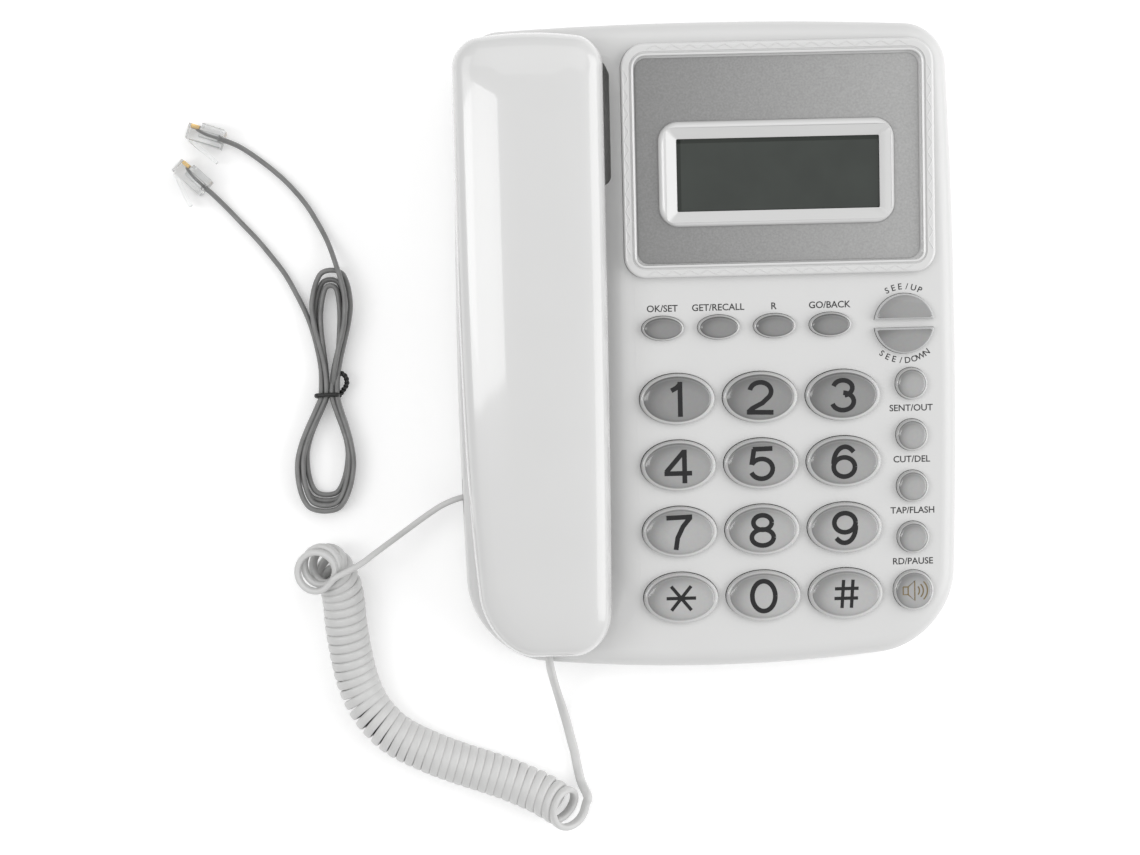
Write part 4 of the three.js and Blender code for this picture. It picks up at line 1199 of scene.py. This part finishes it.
def scroll_cap(node, up):
    """Half a disc: a clear cap whose top face alone is silver."""
    cap = half_moon(node.replace("_key", "_cap"), up, 0, (-3.0, KEY_WALL_W))
    inset_steps(cap, [(i * MM, r * MM) for i, r in SCROLL_STEPS])
    boolean(cap, half_moon("flange", up, 1.0, (KEY_BASE_W, -2.5)), "UNION")
    map_cap(cap, node_on_deck(node), (2.7 * SCROLL_RADIUS, 1.35 * (SCROLL_RADIUS - SCROLL_BAR / 2)))
    set_finish(cap, key_clear)
    cap.data.materials.append(scroll_silver)
    top_face(cap)
    bpy.ops.mesh.select_more()
    cap.active_material_index = 1
    bpy.ops.object.material_slot_assign()
    close_edit(cap)
    return finish_piece(cap, None, node, [node], angle=30)


templates = {}
for key_node, cap_size in KEYS.items():
    if cap_size not in templates:
        templates[cap_size] = key_template(key_node)
    at = node_on_deck(key_node)
    cap_name = key_node.replace("_key", "").replace("key_", "") + "_cap"
    cap = place_copy(templates[cap_size], cap_name, (at.x, at.y, 0))
    finish_piece(cap, cap_finish[key_node], key_node, [key_node], angle=30)
for template in templates.values():
    bpy.data.objects.remove(template)
scroll_cap("up_key", True)
scroll_cap("down_key", False)
print("key caps", len(KEYS) + 2)

# %% Printing


LABEL_THICKNESS = 0.035
LABEL_WEIGHT = 0.012
DECK_INK_W = 0.02 * MM


def print_label(name, text, u, v, height, turn=0.0):
    """Flat lettering of the given height, in metres, printed on the base and centred on u, v of the deck."""
    bpy.ops.object.select_all(action="DESELECT")
    bpy.ops.object.text_add()
    piece = bpy.context.active_object
    piece.name = name
    piece.data.body = text
    piece.data.align_x = "CENTER"
    piece.data.extrude = 0.01
    piece.data.offset = LABEL_WEIGHT
    piece.data.resolution_u = 4
    bpy.ops.object.convert(target="MESH")
    corners = np.array([tuple(v.co) for v in piece.data.vertices])
    low, high = corners.min(0), corners.max(0)
    scale = height / (high[1] - low[1])
    centre = (low + high) / 2
    thin = LABEL_THICKNESS * MM / 0.02
    fit = Matrix.Diagonal((scale, scale, thin, 1)) @ Matrix.Translation(-Vector(centre))
    piece.data.transform(Matrix.Translation((u, v, DECK_INK_W)) @ Matrix.Rotation(turn, 4, "Z") @ fit)
    return finish_piece(piece, label_ink, "base", angle=30)


def arc(cx, cy, rx, ry, start, end, count=20):
    """Points on an ellipse, from the start angle to the end angle in degrees."""
    angles = np.radians(np.linspace(start, end, count))
    return [(cx + rx * math.cos(a), cy + ry * math.sin(a)) for a in angles]


# each digit is one or more strokes in a box about 7.5 wide and 11.2 tall, in millimetres, round zero
STROKES = {
    "1": [[(0.9, -5.6), (0.9, 5.6)], [(1.1, 4.9), (-0.4, 3.6), (-1.9, 2.8)]],
    "2": [arc(0, 1.9, 2.9, 2.9, 172, -35) + [(0.6, -1.8), (-2.2, -3.6), (-3.2, -4.8)],
          [(-3.6, -4.8), (3.6, -4.8)]],
    "3": [arc(-0.1, 2.35, 2.6, 2.45, 165, -80, 18), arc(-0.1, -2.0, 2.95, 2.8, 88, -165, 20)],
    "4": [[(1.6, -5.6), (1.6, 5.2)], [(1.5, 4.7), (-3.4, -1.9)], [(-3.9, -2.4), (3.6, -2.4)]],
    "5": [[(3.1, 4.8), (-2.2, 4.8)], [(-1.9, 4.8), (-2.7, -0.2)], arc(0, -1.6, 3.0, 3.2, 150, -160, 24)],
    "6": [arc(0, -1.7, 2.9, 3.1, 0, 360, 36), arc(0.25, -0.6, 3.15, 5.4, 180, 55, 22) + [(2.6, 3.1)]],
    "7": [[(-3.5, 4.8), (3.5, 4.8)], [(3.0, 4.6), (0.9, 1.8), (-0.7, -1.8), (-1.3, -5.6)]],
    "8": [arc(0, 2.45, 2.5, 2.35, 0, 360, 32), arc(0, -2.35, 3.0, 2.6, 0, 360, 34)],
    "9": [arc(0, 1.7, 2.9, 3.1, 0, 360, 36), arc(-0.25, 0.6, 3.15, 5.4, 0, -125, 22) + [(-2.6, -3.1)]],
    "0": [arc(0, 0, 3.15, 4.85, 0, 360, 44)],
    "*": [[(-2.5, 3.6), (2.5, -3.6)], [(2.5, 3.6), (-2.5, -3.6)], [(-3.7, 0), (3.7, 0)]],
    "#": [[(-1.3, -4.2), (-0.7, 4.2)], [(1.5, -4.2), (2.1, 4.2)], [(-3.3, 1.6), (3.7, 1.6)],
          [(-3.5, -1.3), (3.5, -1.3)]],
}
STROKE_WIDTH = 1.56
SYMBOL_STROKE_WIDTH = 1.1
INK_THICKNESS = 0.05
DIGIT_TILT = {"key_2": -0.03, "key_5": 0.02, "key_7": 0.03, "key_9": 0.04}


def print_strokes(name, strokes, node, w, width, ink, size=1.0, turn=0.0, stretch=1.0):
    """Strokes of even width printed on a key, as thin ribbons with square ends."""
    at = node_on_deck(node)
    ribbons = []
    for k, stroke in enumerate(strokes):
        points = np.array([(x * size * stretch, y * size, 0) for x, y in stroke])
        line = resample(points, 0.3) * MM if len(stroke) < 6 else points * MM
        along = unit(np.gradient(line, axis=0))
        wide = np.stack([-along[:, 1], along[:, 0], np.zeros(len(line))], 1)
        layer = k * 0.004 * MM
        line = line + np.array([0, 0, layer])
        half_w, half_t = width * MM / 2, INK_THICKNESS * MM / 2
        section = np.array([(half_w, -half_t), (half_w, half_t), (-half_w, half_t), (-half_w, -half_t)])
        ribbons.append(tube("stroke", line, wide, section))
    piece = join(name, ribbons)
    piece.data.transform(Matrix.Translation((at.x, at.y, w)) @ Matrix.Rotation(turn, 4, "Z"))
    return finish_piece(piece, ink, node, angle=30)


for key_node, digit in DIGITS.items():
    symbol = digit in "*#"
    print_strokes("digit_" + key_node, STROKES[digit], key_node, (KEY_TOP_W + 0.02) * MM,
                  SYMBOL_STROKE_WIDTH if symbol else STROKE_WIDTH, digit_ink, 1.12 if symbol else 1.03,
                  DIGIT_TILT.get(key_node, 0), 1.0 if digit in "#1" else 1.18)
SPEAKER_ICON = [
    [(-4.0, 1.4), (-2.2, 1.4), (0.2, 3.6), (0.2, -3.6), (-2.2, -1.4), (-4.0, -1.4), (-4.0, 1.4)],
    [(-2.2, 1.4), (-2.2, -1.4)],
    arc(0.4, 0, 1.5, 1.9, 50, -50, 10),
    arc(0.6, 0, 2.7, 3.0, 50, -50, 12),
    arc(0.8, 0, 4.0, 4.2, 50, -50, 14),
]
speaker_top = KEY_WALL_W + sum(rise for _, rise in SMALL_STEPS)
print_strokes("speaker_icon", SPEAKER_ICON, "speaker_key", (speaker_top + 0.02) * MM, 0.4, gold_ink, 0.92)
for labels, rise, letter_height in ((SMALL_LABELS, 6.5, 2.25), (ROUND_LABELS, -8.1, 2.2)):
    for key_node, word in labels.items():
        at = node_on_deck(key_node)
        print_label("label_" + key_node, word, at.x, at.y + rise * MM, letter_height * MM)


def print_round(name, word, centre, radius, above, height):
    """Lettering that follows a circle, above it or below it."""
    pitch = 1.13 * height / radius
    for k, letter in enumerate(word):
        a = (k - (len(word) - 1) / 2) * pitch
        angle = math.pi / 2 - a if above else -math.pi / 2 + a
        u = centre.x + radius * math.cos(angle)
        v = centre.y + radius * math.sin(angle)
        print_label(name, letter, u, v, height, turn=-a if above else a)


print_round("label_up", "SEE/UP", scroll_centre, 12.2 * MM, True, 2.0 * MM)
print_round("label_down", "SEE/DOWN", scroll_centre, 12.2 * MM, False, 2.0 * MM)

# %% [markdown]
# ## Display
# The display sits under a separate frame that drops into the deck: a flat border with a fine zigzag
# relief, a groove and a bead, then a silver printed panel, and a sloping bezel with mitred corners
# around the glass.

# %% Display frame
PANEL = {"left": -22.9, "right": 70.4, "front": 26.8, "rear": 94.3, "front_radius": 4, "rear_radius": 4}
RING = {"left": -15.4, "right": 61.9, "front": 39, "rear": 73.3, "front_radius": 6.5, "rear_radius": 6.5}
WINDOW = {"left": -9.4, "right": 57.2, "front": 43.9, "rear": 67.6, "front_radius": 1.0, "rear_radius": 1.0}
FRAME_STEPS = [(0.12, 0.3), (0.2, 0.22), (0.3, 0.14), (0.38, 0.06), (1.65, 0), (0.12, -0.4), (0.32, 0),
               (0.12, 0.4), (0.2, 0.28), (0.3, 0.08), (0.3, -0.1), (0.2, -0.35), (0.1, -2.0)]
RING_STEPS = [(0.35, 0.7), (0.45, 0.45), (0.5, 0.25), (0.45, 0.08), (0.4, -0.02)]


def flat_slab(name, box, w):
    u = (box["left"] * MM, box["right"] * MM)
    v = (box["front"] * MM, box["rear"] * MM)
    radii = (box.get("front_radius", 0) * MM, box.get("rear_radius", 0) * MM)
    return slab(name, u, v, (w[0] * MM, w[1] * MM), *radii, segments=12)


def zigzag(side):
    """The fine relief line along one side of the border."""
    inset = 1.55
    left, right = FRAME["left"] + inset, FRAME["right"] - inset
    front, rear = FRAME["front"] + inset, FRAME["rear"] - inset
    ends = {
        "front": ((left + 6, front), (right - 6, front)),
        "rear": ((left + 7, rear), (right - 7, rear)),
        "left": ((left, front + 6), (left, rear - 7)),
        "right": ((right, front + 6), (right, rear - 7)),
    }[side]
    a, b = np.array(ends[0]), np.array(ends[1])
    run = b - a
    length = np.linalg.norm(run)
    along, across = run / length, np.array([-run[1], run[0]]) / length
    teeth = int(round(length / 2.85))
    points = []
    for i in range(teeth + 1):
        at = a + along * length * i / teeth + across * (0.75 if i % 2 else -0.75)
        points.append((at[0], at[1], 3.0))
    line = resample(np.array(points), 0.5) * MM
    wide = np.tile([0.0, 0.0, 1.0], (len(line), 1))
    return tube("zigzag", line, wide, ribbon_section(0.36 * MM, 0.36 * MM, 2, 8))


display_frame = flat_slab("display_surround", FRAME, (-4, 2.28))
inset_steps(display_frame, [(i * MM, r * MM) for i, r in FRAME_STEPS])
bezel = flat_slab("bezel", RING, (-0.5, 1.9))
inset_steps(bezel, [(i * MM, r * MM) for i, r in RING_STEPS])
boolean(display_frame, bezel, "UNION")
# the bezel's opening from below: how much wider than the window, its corner radius, and its height
WINDOW_LEVELS = ((0, 0.5, -5), (0, 0.5, 0.75), (0.12, 0.6, 0.95), (3.5, 1.6, 3.0), (4.2, 1.8, 4.2))
window_rings = [rounded_ring({**grown(WINDOW, wider), "front_radius": radius, "rear_radius": radius}, w, 4)
                for wider, radius, w in WINDOW_LEVELS]
boolean(display_frame, loft("window_cut", window_rings))
below = flat_slab("hollow_below", grown(FRAME, -2), (-5, -1.5))
boolean(display_frame, below)
frame_parts = [display_frame] + [zigzag(side) for side in ("front", "rear", "left", "right")]
display_frame = join("display_surround", frame_parts)
finish_piece(display_frame, white_gloss, "base", ["display_frame"], angle=30, weighted=True)

# %% Silver panel and glass
panel = flat_slab("silver_panel", grown(PANEL, -0.3), (0.6, 1.3))
inset_steps(panel, [(0.1 * MM, 0.1 * MM)])
boolean(panel, flat_slab("panel_hole", grown(RING, 0.15), (-1, 3)))
finish_piece(panel, silver_film, "base", ["display_panel"], angle=30)
glass = flat_slab("display_glass", grown(WINDOW, -0.1), (-1.1, 0.0))
inset_steps(glass, [(0.1 * MM, 0.08 * MM)])
finish_piece(glass, lcd_glass, "base", ["lcd_window"], angle=30)
# painted shadow: two dark strips along the glass's rear and left edges stand for the shadow that the bezel
# casts on the glass
GLASS_SHADOW_STRIPS = {
    "rear": {"left": WINDOW["left"] + 0.2, "right": WINDOW["right"] - 0.2,
             "front": WINDOW["rear"] - 1.4, "rear": WINDOW["rear"] - 0.1},
    "left": {"left": WINDOW["left"] + 0.1, "right": WINDOW["left"] + 1.4,
             "front": WINDOW["front"] + 0.2, "rear": WINDOW["rear"] - 0.1},
}
for name, box in GLASS_SHADOW_STRIPS.items():
    strip = flat_slab("glass_border_" + name, box, (0.085, 0.11))
    finish_piece(strip, lcd_dark_and_shadow, "base", angle=30)

# %% [markdown]
# ## Handset
# The handset is two shells that meet on a parting line: a smooth crowned back, which narrows towards
# the mouthpiece, and a front with two round bulges for the ear and the mouth. Its outline tapers by a
# fourth power, which no simple modifier gives, so the shells are skinned through rings.

# %% Handset shells
HANDSET = {"left": -82, "right": -32.7, "front": -100.7, "rear": 100.1}
HANDSET_MIDDLE = -57.35
REAR_END_BOW = 2.6
RIGHT_TRIM = 0.5
HANDSET_TAPER = 0.23
HANDSET_TAPER_RIGHT = 0.1
# the shells' cross sections: height above the deck, and how far in from the widest outline
BACK_LEVELS = [(8, 0), (10.4, 0.12), (12.5, 0.5), (14.1, 1.15), (15.2, 2.0), (16.1, 3.3), (16.75, 5.0),
               (17.3, 7.2), (17.7, 10), (18.0, 13), (18.2, 16.5), (18.32, 20.5)]
BACK_HOLLOW_LEVELS = ((7, 2), (12, 2.6), (14.6, 5), (16.2, 14))
FRONT_LEVELS = [(-2, 8), (-1.4, 6.8), (0, 5.4), (2.5, 3.5), (4.2, 2.0), (5.6, 0.9), (6.8, 0.25), (7.75, 0)]
FRONT_HOLLOW_LEVELS = ((0, 9.5), (2, 6.6), (5.4, 3.4), (8.6, 2))
EAR_BULGE = {"left": -74.2, "right": -38.6, "front": 54, "rear": 92.6, "front_radius": 14, "rear_radius": 7}
MOUTH_BULGE = {"left": -73.2, "right": -40.6, "front": -92.4, "rear": -62,
               "front_radius": 13, "rear_radius": 9}


def handset_ring(w, inset, arc=14, side=16):
    box = {key: HANDSET[key] + (inset if key in ("left", "front") else -inset) for key in HANDSET}
    widest = (box["right"] - box["left"]) / 2 - 0.2
    front_radius = min(max(14 - 0.4 * inset, 4), widest)
    front_left_radius = min(max(21 - 0.45 * inset, 4), widest)
    rear_radius = min(max(8 - 0.25 * inset, 3.5), widest)
    radii = {"front_radius": front_radius, "front_left_radius": front_left_radius, "rear_radius": rear_radius}
    ring = rounded_ring({**box, **radii}, w, arc)
    dense = []
    for i, point in enumerate(ring):
        after = ring[(i + 1) % len(ring)]
        dense.append(point)
        if i % (arc + 1) == arc:
            dense += [[point[k] + (after[k] - point[k]) * j / side for k in range(3)] for j in range(1, side)]
    result = []
    lift = min(1, max(0, w / 6))
    for x, y, z in dense:
        end = max(0, (y / MM - 85) / 15) ** 2
        off_middle = (x / MM - HANDSET_MIDDLE) / 24.6
        x -= RIGHT_TRIM * MM * max(0, off_middle)
        y += REAR_END_BOW * MM * lift * end * max(0, 1 - off_middle ** 2)
        t = (HANDSET["rear"] - y / MM) / (HANDSET["rear"] - HANDSET["front"])
        middle = HANDSET_MIDDLE * MM
        taper = HANDSET_TAPER if x < middle else HANDSET_TAPER_RIGHT
        x = middle + 1.1 * t ** 4 * MM + (x - middle) * (1 - taper * t ** 4)
        result.append((x, y, z))
    return result


def smooth_levels(levels, step):
    return [tuple(point[:2]) for point in spline([(w, inset, 0) for w, inset in levels], step)]


def handset_loft(name, levels):
    return loft(name, [handset_ring(w, inset) for w, inset in levels])


back_shell = handset_loft("handset_back", smooth_levels(BACK_LEVELS, 0.7))
boolean(back_shell, handset_loft("back_hollow", BACK_HOLLOW_LEVELS))
finish_piece(back_shell, white_gloss, "handset", ["handset_back_cover"], angle=40)

front_shell = handset_loft("handset_front", smooth_levels(FRONT_LEVELS, 0.9))
for box, floor in ((EAR_BULGE, -8.5), (MOUTH_BULGE, -7)):
    bump = flat_slab("bulge", box, (floor, 0.5))
    round_level(bump, floor * MM, 3 * MM, 6)
    boolean(front_shell, bump, "UNION")
boolean(front_shell, handset_loft("front_hollow", FRONT_HOLLOW_LEVELS))
for box, floor in ((grown(EAR_BULGE, -2), -6.5), (grown(MOUTH_BULGE, -2), -5)):
    boolean(front_shell, flat_slab("bulge_hollow", box, (floor, 1.5)))
sound_holes = []
for count, around, u, v in ((6, 6.0, -56.6, 73.5), (3, 2.4, -56.9, -77.0)):
    for i in range(count):
        a = 2 * math.pi * i / count
        at = ((u + around * math.cos(a)) * MM, (v + around * math.sin(a)) * MM)
        sound_holes.append(round_slab("sound_hole", at[0], at[1], (2 * MM, 2 * MM), (-10 * MM, -4 * MM), 20))
boolean(front_shell, join("sound_holes", sound_holes))
jack_box = (-60.9, -49.5, -101.6, -79.4, -0.6, 8.0)
boolean(front_shell, slab("jack_hole", *[(jack_box[k] * MM, jack_box[k + 1] * MM) for k in (0, 2, 4)]))
finish_piece(front_shell, white_gloss, "handset", ["handset_front_cover"], angle=40)

# %% [markdown]
# ## Feet and the parts that stay
# The rubber foot is made once and copied. The inner parts and the plunger keep the shape of the
# mechanical frame and only get a finish with some life in it.

# %% Rubber feet
FOOT_STEPS = [(0.25, 0.18), (0.35, 0.07), (2.2, 0.0), (0.3, -0.25), (0.3, -0.05)]


def rubber_foot():
    """A foot upside down: a low disc with a soft edge and a shallow ring groove."""
    foot = round_slab("rubber_foot", 0, 0, (12 * MM, 12 * MM), (0, 1.95 * MM), 48)
    inset_steps(foot, [(i * MM, r * MM) for i, r in FOOT_STEPS])
    foot.matrix_world = Matrix.Translation((0, 0, 2.2 * MM)) @ Matrix.Rotation(math.pi, 4, "X")
    take(foot)
    bpy.ops.object.transform_apply(location=True, rotation=True, scale=True)
    return foot


foot = rubber_foot()
for number in range(1, 5):
    centre = node_centre(f"rubber_foot_{number}")
    copy = place_copy(foot, f"foot_{number}", (centre.x, centre.y, 0))
    finish_piece(copy, grey_rubber, "base", [f"rubber_foot_{number}"], on_deck=False)
bpy.data.objects.remove(foot)

# %% Parts that stay
KEPT = {
    white_inner: ["base_bottom_cover"],
    white_gloss: ["hook_plunger"],
    grey_rubber: ["key_membrane"],
    board_mask: ["main_board"],
    lcd_dark_and_shadow: ["lcd_module"],
    clear_pc: ["cord_plug_base", "cord_plug_handset"],
    zinc: ["base_screw_1", "base_screw_2", "base_microphone", "handset_microphone", "handset_weight"],
    black_abs: ["hook_switch", "loudspeaker", "earpiece_capsule", "handset_jack", "line_jack",
                "handset_cord_jack"],
}
for material, names in KEPT.items():
    for name in names:
        for slot in frame["nodes"][name].material_slots:
            slot.link = "OBJECT"
            slot.material = material
print("parts that stay", sum(len(names) for names in KEPT.values()))

# %% [markdown]
# ## Floor and light
# The telephone lies on a plain pale floor, which gives off a little light of its own so that it reads
# white. Soft light comes from everywhere, with one large softbox high on the left that puts the long
# clear reflection on the handset's shoulder.

# %% Stage


def area_light(name, place, aim, size, power):
    data = bpy.data.lights.new(name, "AREA")
    data.shape = "RECTANGLE"
    data.size, data.size_y = size
    data.energy = power
    light = bpy.data.objects.new(name, data)
    bpy.context.scene.collection.objects.link(light)
    light.location = place
    light.rotation_euler = (Vector(aim) - Vector(place)).to_track_quat("-Z", "Y").to_euler()


def add_stage():
    bpy.ops.mesh.primitive_plane_add(size=6, location=(0, 0, -0.0003))
    floor = bpy.context.active_object
    floor.name = "floor"
    paper = finish("floor_paper", (0.93, 0.93, 0.93), 0.9, vary=0.004, vary_scale=4, Emission_Strength=0.2)
    paper.node_tree.nodes["Principled BSDF"].inputs["Emission Color"].default_value = (1, 1, 1, 1)
    set_finish(floor, paper)
    world = bpy.data.worlds.new("world")
    world.use_nodes = True
    world.node_tree.nodes["Background"].inputs["Color"].default_value = (1, 1, 1, 1)
    world.node_tree.nodes["Background"].inputs["Strength"].default_value = 0.6
    bpy.context.scene.world = world
    bpy.context.scene.view_settings.view_transform = "Standard"
    area_light("left_softbox", (-0.9, 0.25, 1.1), (-0.02, 0, 0), (0.9, 0.6), 2)
    area_light("window_softbox", (-0.85, -0.15, 1.5), (-0.07, -0.15, 0), (0.34, 1.3), 5)
    area_light("right_softbox", (0.9, 0.0, 0.6), (0, 0, 0.03), (1.2, 0.9), 6.5)
    area_light("top_softbox", (0.1, 0.7, 1.5), (0, 0, 0), (1.4, 0.9), 2.5)


add_stage()
